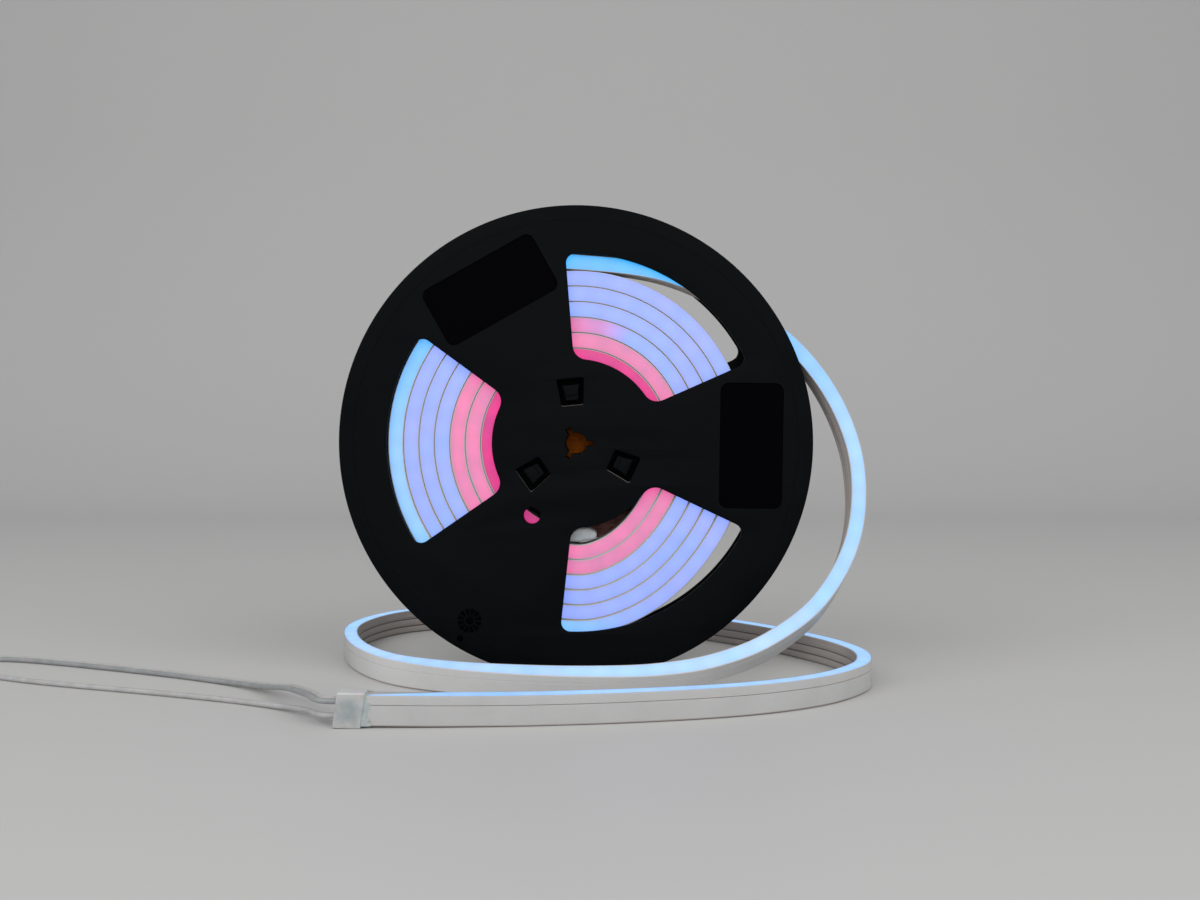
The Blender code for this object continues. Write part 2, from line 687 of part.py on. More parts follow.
def wire_exits(route):
    """Where each wire leaves the outer cap's end face."""
    centre = outer_cap_centre(route)
    face_x = centre.x - OUTER_CAP_LENGTH / 2
    return {
        "lead_wire_rear": Vector((face_x, centre.y + WIRE_PAIR_OFFSET, UPPER_WIRE_HEIGHT)),
        "lead_wire_front": Vector((face_x, centre.y - WIRE_PAIR_OFFSET, UPPER_WIRE_HEIGHT)),
        "lead_wire_lower": Vector((face_x, centre.y, LOWER_WIRE_HEIGHT)),
    }


def rod(name, radius, length, segments, collection):
    mesh = bpy.data.meshes.new(name)
    work = bmesh.new()
    bmesh.ops.create_cone(work, cap_ends=True, segments=segments, radius1=radius, radius2=radius, depth=length)
    work.to_mesh(mesh)
    work.free()
    piece = bpy.data.objects.new(name, mesh)
    collection.objects.link(piece)
    return piece


def connector_way(index):
    """Middle of one of the connector's three ways, rear way first."""
    return CONNECTOR_PLACE + Vector((0, CONNECTOR_WAY_PITCH * (1 - index), 0))


def beside(points, offset):
    """The route moved sideways on the level, to the left of the way it runs if the offset is above 0."""
    moved = []
    for point, heading in zip(points, headings(points)):
        side = Vector((-heading.y, heading.x, 0)).normalized()
        moved.append(point + side * offset)
    return moved


def lead_wires(route, parts, material):
    exits = wire_exits(route)
    pair_exit = (exits["lead_wire_rear"] + exits["lead_wire_front"]) / 2
    pair = [pair_exit] + [Vector(p) * MM for p in WIRE_PAIR_ROUTE]
    middles = {
        "lead_wire_rear": beside(pair, -WIRE_PAIR_OFFSET)[1:],
        "lead_wire_front": beside(pair, WIRE_PAIR_OFFSET)[1:],
        "lead_wire_lower": [Vector(p) * MM for p in LOWER_WIRE_ROUTE],
    }
    for way, (name, exit_point) in enumerate(exits.items()):
        start = exit_point + Vector((WIRE_SINK, 0, 0))
        end = connector_way(way) - Vector((CONNECTOR_WIRE_SINK, 0, 0))
        points = [start] + middles[name] + [connector_way(way), end]
        curve = bpy.data.curves.new(name, "CURVE")
        curve.dimensions = "3D"
        curve.bevel_depth = WIRE_DIAMETER / 2
        curve.bevel_resolution = 2
        curve.use_fill_caps = True
        poly_spline(curve, smooth_route(points, WIRE_POINT_SPACING, WIRE_SINK + WIRE_DIAMETER / 2), False)
        wire = bpy.data.objects.new(name, curve)
        parts.objects.link(wire)
        finish(wire, material)


def connector(parts, guides, housing_material, pin_material):
    """Three-way connector housing with a latch on top, and the crimped pins in its ways."""
    housing = box("connector_housing", (CONNECTOR_LENGTH, CONNECTOR_WIDTH, CONNECTOR_HEIGHT), parts)
    housing.location = CONNECTOR_PLACE - Vector((CONNECTOR_LENGTH / 2, 0, 0))
    edges = housing.modifiers.new("rounded_edges", "BEVEL")
    edges.width = CONNECTOR_EDGE
    edges.segments = 1
    edges.limit_method = "NONE"

    latch_height = CONNECTOR_LATCH_HEIGHT + EMBED
    latch = box("connector_latch", (CONNECTOR_LATCH_LENGTH, CONNECTOR_LATCH_WIDTH, latch_height), guides)
    latch.location = housing.location + Vector((0, 0, CONNECTOR_HEIGHT / 2 - EMBED + latch_height / 2))
    combine(housing, latch, "UNION")

    way_length = CONNECTOR_LENGTH + 2 * CUT_MARGIN
    for index in range(3):
        way = box(f"connector_way_{index + 1}", (way_length, CONNECTOR_WAY_WIDTH, CONNECTOR_WAY_WIDTH), guides)
        way.location = connector_way(index) - Vector((CONNECTOR_LENGTH / 2, 0, 0))
        combine(housing, way, "DIFFERENCE")

        crimp_middle = CONNECTOR_WIRE_SINK + BUTT_GAP + CRIMP_LENGTH / 2
        pin = rod(f"connector_pin_{index + 1}", CRIMP_RADIUS, CRIMP_LENGTH, 12, parts)
        pin.location = connector_way(index) - Vector((crimp_middle, 0, 0))
        pin.rotation_euler = (0, math.pi / 2, 0)
        blade_length = PIN_LENGTH + EMBED
        blade_middle = crimp_middle + CRIMP_LENGTH / 2 - EMBED + blade_length / 2
        blade = rod(f"pin_blade_{index + 1}", PIN_RADIUS, blade_length, 8, guides)
        blade.location = connector_way(index) - Vector((blade_middle, 0, 0))
        blade.rotation_euler = (0, math.pi / 2, 0)
        combine(pin, blade, "UNION")
        finish(pin, pin_material)
    finish(housing, housing_material)


def main():
    clear_scene()
    parts = make_collection("led_neon_strip_reel")
    guides = make_collection("guides")

    black = plain_material("black_plastic", (0.012, 0.013, 0.015), 0.38)
    brown = plain_material("brown_paper", (0.10, 0.035, 0.006), 0.85)
    white = plain_material("white_silicone", (0.62, 0.62, 0.61), 0.55)
    glow_wound = plain_material("lit_diffuser_violet", (0.45, 0.50, 0.95), 0.45)
    glow_free = plain_material("lit_diffuser_blue", (0.35, 0.62, 0.95), 0.45)
    board = plain_material("flexible_board", (0.75, 0.72, 0.62), 0.5)
    frosted = plain_material("frosted_cap", (0.55, 0.56, 0.56), 0.4)
    wire = plain_material("wire_jacket", (0.6, 0.6, 0.6), 0.45)
    housing = plain_material("connector_nylon", (0.72, 0.71, 0.66), 0.4)
    tin = plain_material("tinned_metal", (0.75, 0.74, 0.7), 0.3, 1.0)

    front_half(parts, guides, black)
    seat_y = back_half(parts, guides, black)
    back_disc(seat_y, parts, brown)

    channel = section_guide("channel_section", channel_section(), guides)
    diffuser = section_guide("diffuser_section", diffuser_section(), guides)
    led_board = section_guide("board_section", board_section(), guides)
    board_start = WOUND_START + (TONGUE_LENGTH + 2 * BUTT_GAP) / turn_radius(WOUND_START)
    wound_piece("wound_channel", channel, WOUND_START, parts, white)
    wound_piece("wound_diffuser", diffuser, WOUND_START, parts, glow_wound)
    wound_piece("wound_led_board", led_board, board_start, parts, board)
    inner_cap(parts, guides, white)

    route = free_route()
    free_piece("free_channel", channel, route, parts, white)
    free_piece("free_diffuser", diffuser, route, parts, glow_free)
    free_piece("free_led_board", led_board, route, parts, board)
    outer_cap(route, parts, guides, frosted)
    lead_wires(route, parts, wire)
    connector(parts, guides, housing, tin)


main()
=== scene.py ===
import math

import bmesh
import bpy
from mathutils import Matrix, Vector


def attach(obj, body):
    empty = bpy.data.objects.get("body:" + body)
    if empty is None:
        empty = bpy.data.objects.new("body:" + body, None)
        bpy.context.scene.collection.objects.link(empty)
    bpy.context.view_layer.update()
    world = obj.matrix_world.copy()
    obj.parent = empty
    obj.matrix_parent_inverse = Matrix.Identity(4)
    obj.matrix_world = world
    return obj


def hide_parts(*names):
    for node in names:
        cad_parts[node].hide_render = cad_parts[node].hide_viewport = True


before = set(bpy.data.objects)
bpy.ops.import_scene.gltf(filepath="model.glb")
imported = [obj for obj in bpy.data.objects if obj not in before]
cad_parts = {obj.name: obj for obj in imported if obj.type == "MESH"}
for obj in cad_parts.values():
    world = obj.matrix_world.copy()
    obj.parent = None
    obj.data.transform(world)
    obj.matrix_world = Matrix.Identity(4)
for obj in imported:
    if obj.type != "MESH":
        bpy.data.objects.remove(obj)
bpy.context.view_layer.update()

MM = 0.001
BODY = "root"
WELD_DISTANCE = 0.000005

# Camera: image taken as 1200 by 900
SENSOR_WIDTH = 36.0
FOCAL_SHARE = 1196 / 1200
CAMERA_PLACE = Vector((0.0091, -0.4615, 0.0985))
CAMERA_PITCH = math.radians(1.392)

# Reel, in metres
REEL_RADIUS = 0.0900
AXIS = Vector((0, 0, REEL_RADIUS))
FLANGE_INNER_Y = 0.0062
FLANGE_OUTER_Y = 0.0080
PATTERN_TURN = math.radians(-0.8)
HUB_RADIUS = 0.0297
HUB_BORE_RADIUS = 0.0282
SPIGOT_OUTER_RADIUS = HUB_BORE_RADIUS - 0.0003
SPIGOT_INNER_RADIUS = HUB_BORE_RADIUS - 0.0018
SPIGOT_BACK = -0.0048
SPIGOT_EDGE = 0.0002
EDGE_ROUNDING = 0.0003
# Start of a cut outside a face, reach of joined parts into each other, gap between fitting parts
CUT_START = 0.001
OVERLAP = 0.0006
FIT_GAP = 0.0003
BORE_CUT_Y = 0.012

WINDOW_OUTER_RADIUS = 0.0719
WINDOW_INNER_RADIUS = 0.0320
WINDOW_INNER_CORNER = 0.0055
WINDOW_OUTER_CORNER = 0.0035
SPOKE_SIDE_ANGLE = math.radians(24.6)
SPOKE_SIDE_OFFSET = 0.00173
BACK_WINDOW_OUTER_RADIUS = 0.0729
BACK_WINDOW_INNER_RADIUS = 0.0380
BACK_WINDOW_TURN = math.radians(2.7)

LABEL_HEIGHT = 0.0477
LABEL_WIDTH = 0.0240
LABEL_CORNER_RADIUS = 0.0032
LABEL_CENTRE_RADIUS = 0.0665
LABEL_DEPTH = 0.0004
RECESS_LEAST_DEPTH = 0.00015
RECESS_MOST_DEPTH = 0.0006

RIM_GROOVE_RADII = (0.08455, 0.08430)
RIM_GROOVE_DEPTH = 0.00012
GATE_PIT_PLACE_RADIUS = 0.0865
GATE_PIT_PLACE_TURN = math.radians(239.3)
GATE_PIT_RADIUS = 0.0013
GATE_PIT_DEPTH = 0.0005
MARK_PLACE_RADIUS = 0.0788
MARK_PLACE_TURN = math.radians(239)
MARK_RADIUS = 0.0046
MARK_HUB_RADIUS = 0.0016
MARK_HUB_GAP = 0.0004
MARK_DEPTH = 0.0002
MARK_RAYS = 12

BORE_RADIUS = 0.0041
KEY_SLOT_RADIUS = 0.0065
KEY_SLOT_WIDTH = 0.0020
BOSS_RADIUS = 0.0085

SNAP_CENTRE_RADIUS = 0.0196
SNAP_TURN = math.radians(-24.7)
SNAP_OUTER_WIDTH = 0.0104
SNAP_INNER_WIDTH = 0.0082
SNAP_LENGTH = 0.0101
SNAP_WINDOW_CORNER = 0.0006
SNAP_HIGHLIGHT_REACH = 0.008
SNAP_POST_MARGIN = 0.0018
SNAP_POST_CORNER = 0.0004
SNAP_POST_EDGE = 0.00025
SNAP_POST_FRONT = -0.0074
SNAP_LEDGE = 0.0018
SNAP_LEDGE_HEIGHT = 0.0006
SNAP_LEDGE_INSET = 0.0001

PEEP_HOLE_RADIUS = 0.00315
PEEP_HOLE_CENTRE_RADIUS = 0.0321
PEEP_HOLE_TURN = math.radians(238.6)

# Painted light on the back flange's inner side: glow spill from the pink strip, its centre and its reaches
GLOW_SPILL_PLACE = (0.0125, 0.0062, 0.0575)
GLOW_SPILL_FULL_REACH = 6.5 * MM
GLOW_SPILL_END_REACH = 11.0 * MM

DISC_SEAT_RADIUS = 0.0108
DISC_SEAT_Y = 0.0070
DISC_CLEARANCE = 0.0001

# Strip section, in mm: x across the strip, y towards the lit face
HALF_WIDTH = 2.88
STRIP_BOTTOM = -5.0
STRIP_FACE = 5.0
SEAM_Y = 1.85
SEAM_HALF_GAP = 0.06
SEAM_EDGE = 0.12
CHANNEL_INSIDE = 1.6
CHANNEL_FLOOR = -3.6
CHANNEL_CORNER = 0.55
DIFFUSER_CORNER = 0.24
GROOVE_HEIGHTS = (-2.3, 1.15)
GROOVE_DEPTH = 0.30
GROOVE_HALF = 0.36
STRIP_SMOOTHING = math.radians(40)
# Place of the end faces across the strip in its UV map, past the borders of the lit face
END_FACE_ACROSS = 9 * MM

# Turns on the hub; the bumps are (angle in degrees, mm out of round)
TURN_PITCH = 0.0059
FIRST_TURN_RADIUS = HUB_RADIUS + 0.00085 + 0.0028
FIRST_TURN_ANGLE = math.radians(265)
WOUND_START = math.radians(2)
WOUND_END = math.radians(2320)
STEP_FROM = math.radians(296)
STEP_TO = math.radians(356)
BUMP_FADE = 0.04
TURN_BUMPS = [
    (0, 2.3), (54, 0.55), (117, 0.1), (173, 0.0), (240, -0.6), (280, -0.25),
    (295, 0.85), (310, 1.4), (325, 1.85), (340, 2.35), (351, 2.7),
]
TURN_SEGMENTS = 120
HEADING_STEP = 0.01

# Free run of the strip: x, y, z in mm and the direction in which its lit face looks
FREE_ROUTE = [
    (-2, -0.2, 159.1, 0, -1, 0), (33, -0.2, 154.4, 0, -1, 0.05), (60, -0.2, 142.6, 0.02, -1, 0.05),
    (82.5, -0.3, 126.6, 0.05, -1, 0.1), (98, -2, 105.3, 0.1, -0.97, 0.18),
    (105.5, -6.5, 81, 0.1, -0.96, 0.24), (103, -15, 54, 0, -0.93, 0.35),
    (89.5, -24.5, 31.5, -0.05, -0.86, 0.5), (70, -32, 17.5, -0.08, -0.78, 0.63),
    (49.5, -37, 10.5, -0.04, -0.74, 0.68), (29.5, -40, 7.4, 0, -0.64, 0.77),
    (8, -41.4, 6.6, 0, -0.55, 0.83), (-17, -39.5, 6.4, -0.06, -0.46, 0.89),
    (-45, -31.5, 6.1, -0.12, -0.3, 0.95), (-71, -13, 5.6, -0.1, -0.12, 0.99),
    (-90.5, 21, 5.3, -0.03, -0.02, 1), (-97, 60, 5.2, 0, 0, 1), (-83, 93, 5.2, 0, 0.02, 1),
    (-48, 108.5, 5.2, 0, 0.02, 1), (-3, 106, 5.2, 0, 0, 1), (40.5, 88, 5.2, 0, 0, 1),
    (75.5, 58, 5.2, 0, 0, 1), (99, 25.5, 5.2, 0, 0, 1), (108, 3, 5.2, 0, 0, 1), (108.5, -13, 5.2, 0, 0, 1),
    (103, -29, 5.2, 0, 0, 1), (86, -47.5, 5.2, 0, 0, 1), (59.5, -61.5, 5.2, 0, 0, 1),
    (24.5, -70.5, 5.2, 0, -0.02, 1), (-11.5, -75.5, 5.2, 0, -0.03, 1), (-41, -77.5, 5.4, 0, -0.03, 1),
    (-60, -78, 5.65, 0, -0.03, 1), (-72, -78, 5.8, 0, -0.03, 1),
]
FREE_SPACING = 0.0035
FIRST_TURN_LIFT = 0.00025
BUTT_GAP = 0.0003

# Plug on the strip's inner end, seen from the front; the points of its two long sides in mm
INNER_CAP_OUTER_SIDE = [(-9, -33.6), (-9, -37.4), (-4, -37.7), (1, -37.9), (5, -37.2)]
INNER_CAP_END_CENTRE = (0.0058, -0.0352)
INNER_CAP_END_RADIUS = 0.0021
INNER_CAP_END_TURNS = (math.radians(-55), math.radians(50))
INNER_CAP_HUB_SIDE = [(5.4, -32.6), (3.4, -32.05), (1.2, -32.0), (-1.2, -32.6), (-3.5, -33.4)]
INNER_CAP_HALF_DEPTH = 5 * MM
INNER_CAP_EDGE = 0.0012

# Outer end cap and lead wires, the routes in mm
OUTER_CAP_LENGTH = 0.0091
OUTER_CAP_HALF_WIDTH = 3.5 * MM
OUTER_CAP_HALF_HEIGHT = 5.7 * MM
OUTER_CAP_BEVEL = 0.45 * MM
OUTER_CAP_POCKET = 0.0045
CAP_SKEW = math.radians(8)
CAP_FALL = 0.02
CAP_SHIFT = 0.0010
CAP_TOP_HEIGHT = 0.0115
POTTING_FULL_REACH = 2.8 * MM
POTTING_END_REACH = 6.6 * MM
# Clear glue round the strip at the cap, in mm; its profile is (share of length, share of thickness)
GLUE_OUTLINE = [(-3.02, -4.95), (-3.02, 5.12), (3.02, 5.12), (3.02, -4.95)]
GLUE_SPACING = 0.35
GLUE_THICKNESS = 0.09
GLUE_PROFILE = [(0.0, 1.0), (0.35, 1.0), (0.7, 0.85), (1.0, 0.25), (1.0, -0.4), (0.0, -0.4)]
GLUE_SINK = 0.6 * MM
WIRE_DIAMETER = 0.0019
WIRE_SINK = 0.0022
WIRE_SPACING = 0.0022
UPPER_WIRE_HEIGHT = 0.0084
LOWER_WIRE_HEIGHT = 0.0035
WIRE_PAIR_OFFSET = 0.00135
WIRE_PAIR_ROUTE = [
    (-81, -77, 8.5), (-86.5, -68.5, 8.3), (-93, -57.5, 7.2), (-99.5, -46.5, 5.6), (-110, -33, 3),
    (-124, -20.5, 1.5), (-143, -9.5, 1.1), (-165, 1, 1.1), (-187, 10.5, 1.1), (-209, 19.3, 1.1),
    (-228, 25.5, 1.1), (-243, 27, 1.1), (-256, 24.5, 1.4), (-265, 21.5, 2.2),
]
LOWER_WIRE_ROUTE = [
    (-81, -77, 3.5), (-86, -70, 3), (-92, -63, 2.2), (-101, -56, 1.4), (-115, -48.5, 1.1),
    (-132, -41.5, 1.1), (-151, -34.5, 1.1), (-171, -27.5, 1.1), (-190, -21, 1.1), (-209, -13.5, 1.1),
    (-228, -4, 1.1), (-245, 6, 1.1), (-258, 13, 1.5), (-266, 15.5, 2.3),
]
CONNECTOR_PLACE = Vector((-0.2720, 0.0190, 0.0026))
CONNECTOR_WAY_PITCH = 0.0030
CONNECTOR_WIRE_SINK = 0.0030

# Backdrop, in metres
STAGE_FRONT = -8.0
STAGE_BEND_Y = 0.75
STAGE_BEND_RADIUS = 0.5
STAGE_BEND_SEGMENTS = 24
STAGE_TOP = 2.2
STAGE_HALF_WIDTH = 6.0

WORLD_COLOUR = (0.74, 0.745, 0.755, 1.0)
WORLD_STRENGTH = 0.62
LAMP_TARGET = Vector((0, 0, 0.05))
# Softboxes: name, place, side length, power in W
SOFTBOXES = [
    ("left_softbox", (-0.80, -0.85, 0.85), 0.95, 6.6),
    ("right_softbox", (0.80, -0.85, 0.85), 0.95, 6.2),
    ("front_fill", (0.0, -1.10, 0.32), 0.50, 1.5),
]


def make_camera():
    data = bpy.data.cameras.new("camera")
    data.sensor_width = SENSOR_WIDTH
    data.lens = SENSOR_WIDTH * FOCAL_SHARE
    data.clip_start = 0.01
    camera = link(bpy.data.objects.new("camera", data))
    camera.location = CAMERA_PLACE
    camera.rotation_euler = (math.pi / 2 - CAMERA_PITCH, 0, 0)
    bpy.context.scene.camera = camera


# Materials, all colours linear

class Shader:
    """A node material with a Principled shader and short calls for the nodes that feed it."""

    def __init__(self, name, roughness, specular=0.5, **constants):
        self.material = bpy.data.materials.new(name)
        self.material.use_nodes = True
        self.tree = self.material.node_tree
        self.principled = self.tree.nodes["Principled BSDF"]
        self.set("Roughness", roughness)
        self.set("Specular IOR Level", specular)
        for socket, value in constants.items():
            self.set(socket.replace("_", " "), value)

    def set(self, socket, value):
        self.principled.inputs[socket].default_value = value

    def link(self, output, socket):
        self.tree.links.new(output, self.principled.inputs[socket])

    def node(self, kind, settings=None, **inputs):
        """A node; its inputs are named, or numbered as _0, _1 and so on."""
        made = self.tree.nodes.new("ShaderNode" + kind)
        for key, value in (settings or {}).items():
            setattr(made, key, value)
        for key, value in inputs.items():
            socket = made.inputs[int(key[1:])] if key[1:].isdigit() else made.inputs[key.replace("_", " ")]
            if isinstance(value, bpy.types.NodeSocket):
                self.tree.links.new(value, socket)
            else:
                socket.default_value = value
        return made

    def position(self):
        return self.node("TexCoord").outputs["Object"]

    def along(self, vector, axis):
        return self.node("SeparateXYZ", Vector=vector).outputs[axis]

    def distance_from(self, place):
        made = self.node("VectorMath", {"operation": "DISTANCE"}, _0=self.position(), _1=place)
        return made.outputs["Value"]

    def noise(self, scale, detail, roughness=0.55, stretch=(1.0, 1.0, 1.0)):
        mapping = self.node("Mapping", Vector=self.position(), Scale=stretch)
        texture = self.node("TexNoise", Vector=mapping.outputs["Vector"], Scale=scale, Detail=detail,
                            Roughness=roughness)
        return texture.outputs["Fac"]

    def remap(self, value, from_low, from_high, to_low, to_high, smooth=False):
        settings = {"interpolation_type": "SMOOTHSTEP"} if smooth else None
        made = self.node("MapRange", settings, Value=value, From_Min=from_low, From_Max=from_high,
                         To_Min=to_low, To_Max=to_high)
        return made.outputs["Result"]

    def math(self, operation, a, b=0.0):
        return self.node("Math", {"operation": operation}, _0=a, _1=b).outputs["Value"]

    def mix(self, share, a, b, blend="MIX"):
        """Colour between a and b, each of them a socket or a red, green and blue."""
        ends = [end if isinstance(end, bpy.types.NodeSocket) else (*end, 1.0) for end in (a, b)]
        settings = {"data_type": "RGBA", "blend_type": blend}
        return self.node("Mix", settings, _0=share, _6=ends[0], _7=ends[1]).outputs[2]

    def mottle(self, pattern, low, high, spread=0.15):
        """Colour that goes from low to high with a noise pattern."""
        return self.mix(self.remap(pattern, 0.5 - spread, 0.5 + spread, 0.0, 1.0), low, high)

    def light(self, red, green, blue):
        return self.node("CombineColor", Red=red, Green=green, Blue=blue).outputs[0]

    def ramp(self, value, stops):
        made = self.node("ValToRGB", Fac=value)
        elements = made.color_ramp.elements
        while len(elements) < len(stops):
            elements.new(0.5)
        for element, (position, colour) in zip(elements, stops):
            element.position = position
            element.color = (*colour, 1.0)
        return made.outputs["Color"]

    def bump(self, height, distance, strength, normal=None):
        made = self.node("Bump", Height=height, Distance=distance, Strength=strength)
        if normal is not None:
            self.tree.links.new(normal, made.inputs["Normal"])
        return made.outputs["Normal"]


def black_plastic(name, base, roughness, specular, glow_spill_place=None):
    """Satin moulded plastic with a fine spark texture, faint flow marks and a little dust; where a place is
    given, painted glow spill round it.
    """
    shader = Shader(name, roughness, specular)
    grain = shader.noise(2600, 4)
    flow = shader.noise(38, 5)
    dark = [channel * 0.75 for channel in base]
    light = [channel * 1.25 for channel in base]
    body = shader.mottle(flow, dark, light, 0.2)
    speck = shader.remap(shader.noise(900, 2), 0.74, 0.80, 0.0, 0.4)
    body = shader.mix(speck, body, (0.02, 0.02, 0.022))
    if glow_spill_place:
        body = painted_glow_spill(shader, body, glow_spill_place)
    shader.link(body, "Base Color")
    shader.link(shader.remap(flow, 0.25, 0.75, roughness - 0.07, roughness + 0.07), "Roughness")
    shader.link(shader.bump(grain, 0.00004, 0.35, shader.bump(flow, 0.00025, 0.2)), "Normal")
    return shader.material


def painted_glow_spill(shader, body, place):
    """The body's colour with painted light round the place, on the flange's inner side only: a brown glow
    that stands in for the pink strip's light spilling onto the back flange.
    """
    streaks = shader.noise(420, 4, 0.6, (0.5, 1.0, 1.6))
    ragged = shader.remap(streaks, 0.3, 0.7, -2 * MM, 2 * MM)
    reach = shader.math("ADD", shader.distance_from(place), ragged)
    near = shader.remap(reach, GLOW_SPILL_FULL_REACH, GLOW_SPILL_END_REACH, 1.0, 0.0, smooth=True)
    depth = shader.along(shader.position(), "Y")
    inside = shader.remap(depth, FLANGE_INNER_Y + 0.0002, FLANGE_INNER_Y + 0.0006, 1.0, 0.0)
    tint = shader.mottle(streaks, (0.10, 0.045, 0.04), (0.22, 0.10, 0.085), 0.1)
    return shader.mix(shader.math("MULTIPLY", inside, near), body, tint)


# Strip colour against the length run from the hub, in metres: position, linear colour
# Partly painted light: the darker first stop is painted shade at the peep hole, the low red from 2.02 to 2.11
# m is painted shade from the flange, and the lighter stops from 2.29 to 2.42 m are a painted highlight
GLOW_STOPS = [
    (0.026, (0.5, 0.003, 0.18)), (0.04, (0.69, 0.004, 0.22)), (0.158, (0.69, 0.006, 0.23)),
    (0.176, (0.63, 0.08, 0.3)), (0.59, (0.63, 0.08, 0.3)), (0.606, (0.68, 0.045, 0.25)),
    (0.614, (0.6, 0.06, 0.32)), (0.627, (0.185, 0.295, 0.93)), (1.826, (0.185, 0.295, 0.93)),
    (1.85, (0.11, 0.45, 0.95)), (1.95, (0.17, 0.47, 0.95)), (2.02, (0.006, 0.4, 0.95)),
    (2.11, (0.006, 0.4, 0.95)), (2.2, (0.23, 0.5, 0.93)), (2.25, (0.23, 0.5, 0.93)),
    (2.29, (0.295, 0.555, 0.94)), (2.42, (0.285, 0.545, 0.94)), (2.5, (0.23, 0.5, 0.93)),
]
GLOW_LENGTH = 3.1
FACE_WHITE = (0.20, 0.20, 0.20)
# Painted shade: the lit face of the magenta first turn reflects less white
FIRST_TURN_FACE_SHADE = (0.07, 0.07, 0.07)
MAGENTA_END = 0.167
# Stretch of the free run whose walls get painted light, a faint white glow
WALL_PAINTED_LIGHT = 0.13
WALL_PAINTED_LIGHT_RISE = (2.27, 2.33)
WALL_PAINTED_LIGHT_FALL = (2.43, 2.49)
SIDE_WHITE = (0.49, 0.49, 0.486)
# Painted shade: a darker, browner colour for the side towards the hub
HUB_SIDE_SHADE = (0.40, 0.365, 0.345)
# Painted shade in the side grooves
GROOVE_SHADE = (0.085, 0.075, 0.07)
DIODE_PITCH = 10 * MM
# Length over which the light fades out, slantwise, at the strip's outer end
DARK_TAIL_LENGTH = 0.034


def wall_colour(shader, smear, across, grooved):
    """Colour of the strip's unlit walls: dust, painted shade on the side towards the hub, painted shade in
    its grooves.
    """
    low = [channel * 0.95 for channel in SIDE_WHITE]
    high = [channel * 1.04 for channel in SIDE_WHITE]
    side = shader.mottle(smear, low, high, 0.2)
    dust = shader.remap(shader.noise(700, 1), 0.72, 0.77, 0.0, 0.22)
    side = shader.mix(dust, side, (0.36, 0.35, 0.34))
    # Painted shade on the side towards the hub
    hub_side_shade = shader.remap(across, -3.1 * MM, -2.95 * MM, 1.0, 0.0)
    side = shader.mix(hub_side_shade, side, HUB_SIDE_SHADE)
    # Painted shade along each groove
    for height in GROOVE_HEIGHTS if grooved else ():
        groove_place = -(HALF_WIDTH + SEAM_Y - SEAM_HALF_GAP - height) * MM
        off = shader.math("ABSOLUTE", shader.math("SUBTRACT", across, groove_place))
        groove_shade = shader.remap(off, 0.15 * MM, 0.55 * MM, 0.8, 0.0)
        side = shader.mix(groove_shade, side, GROOVE_SHADE)
    return side


def painted_wall_light(shader, run):
    """Painted light: a faint white glow on the walls along one stretch of the free run."""
    rise = shader.remap(run, *WALL_PAINTED_LIGHT_RISE, 0.0, WALL_PAINTED_LIGHT, smooth=True)
    fall = shader.remap(run, *WALL_PAINTED_LIGHT_FALL, 1.0, 0.0, smooth=True)
    level = shader.math("MULTIPLY", rise, fall)
    return shader.light(level, level, level)


def lit_share(shader, run, across, distance, strip_run):
    """1 on the lit face; 0 on its borders and where the light fades out at the strip's outer end."""
    height = shader.along(shader.position(), "Z")
    first_turn = shader.remap(run, MAGENTA_END - 0.01, MAGENTA_END, 1.0, 0.0)
    hub_half = shader.remap(across, -2.0 * MM, -1.0 * MM, 0.5 * MM, 0.0)
    # Painted light: lower down the lit face stops further from its edges, so the pale lines between turns are
    # wider in the lower windows
    border = shader.math("ADD", shader.math("MULTIPLY", first_turn, hub_half),
                         shader.remap(height, 0.075, 0.135, 2.42 * MM, 2.60 * MM))
    past_border = shader.math("SUBTRACT", distance, border)
    lit = shader.remap(past_border, 0.0, 0.16 * MM, 1.0, 0.0, smooth=True)
    left_to_run = shader.math("SUBTRACT", strip_run, run)
    dark_tail = shader.remap(left_to_run, 0.0, DARK_TAIL_LENGTH, 2.3 * MM, -2.9 * MM)
    tail = shader.math("SUBTRACT", across, dark_tail)
    return shader.math("MULTIPLY", lit, shader.remap(tail, -0.35 * MM, 0.35 * MM, 0.0, 1.0, smooth=True))


def diode_light(shader, run, distance, lit):
    """Light of the diodes' colour, a little stronger over each diode and along the middle of the face."""
    share = shader.math("DIVIDE", run, GLOW_LENGTH)
    colour = shader.ramp(share, [(position / GLOW_LENGTH, glow) for position, glow in GLOW_STOPS])
    diode = shader.math("SINE", shader.math("MULTIPLY", run, 2 * math.pi / DIODE_PITCH))
    level = shader.math("MULTIPLY", shader.remap(diode, -1, 1, 0.965, 1.035),
                        shader.remap(shader.noise(42, 2), 0.3, 0.7, 0.94, 1.06))
    crown = shader.remap(distance, 0.6 * MM, 2.8 * MM, 1.03, 0.93, smooth=True)
    level = shader.math("MULTIPLY", shader.math("MULTIPLY", level, crown), lit)
    tint = shader.remap(shader.noise(95, 2), 0.3, 0.7, 0.86, 1.18)
    tinted = shader.light(shader.math("MULTIPLY", level, tint), level, level)
    return shader.mix(1.0, colour, tinted, "MULTIPLY")


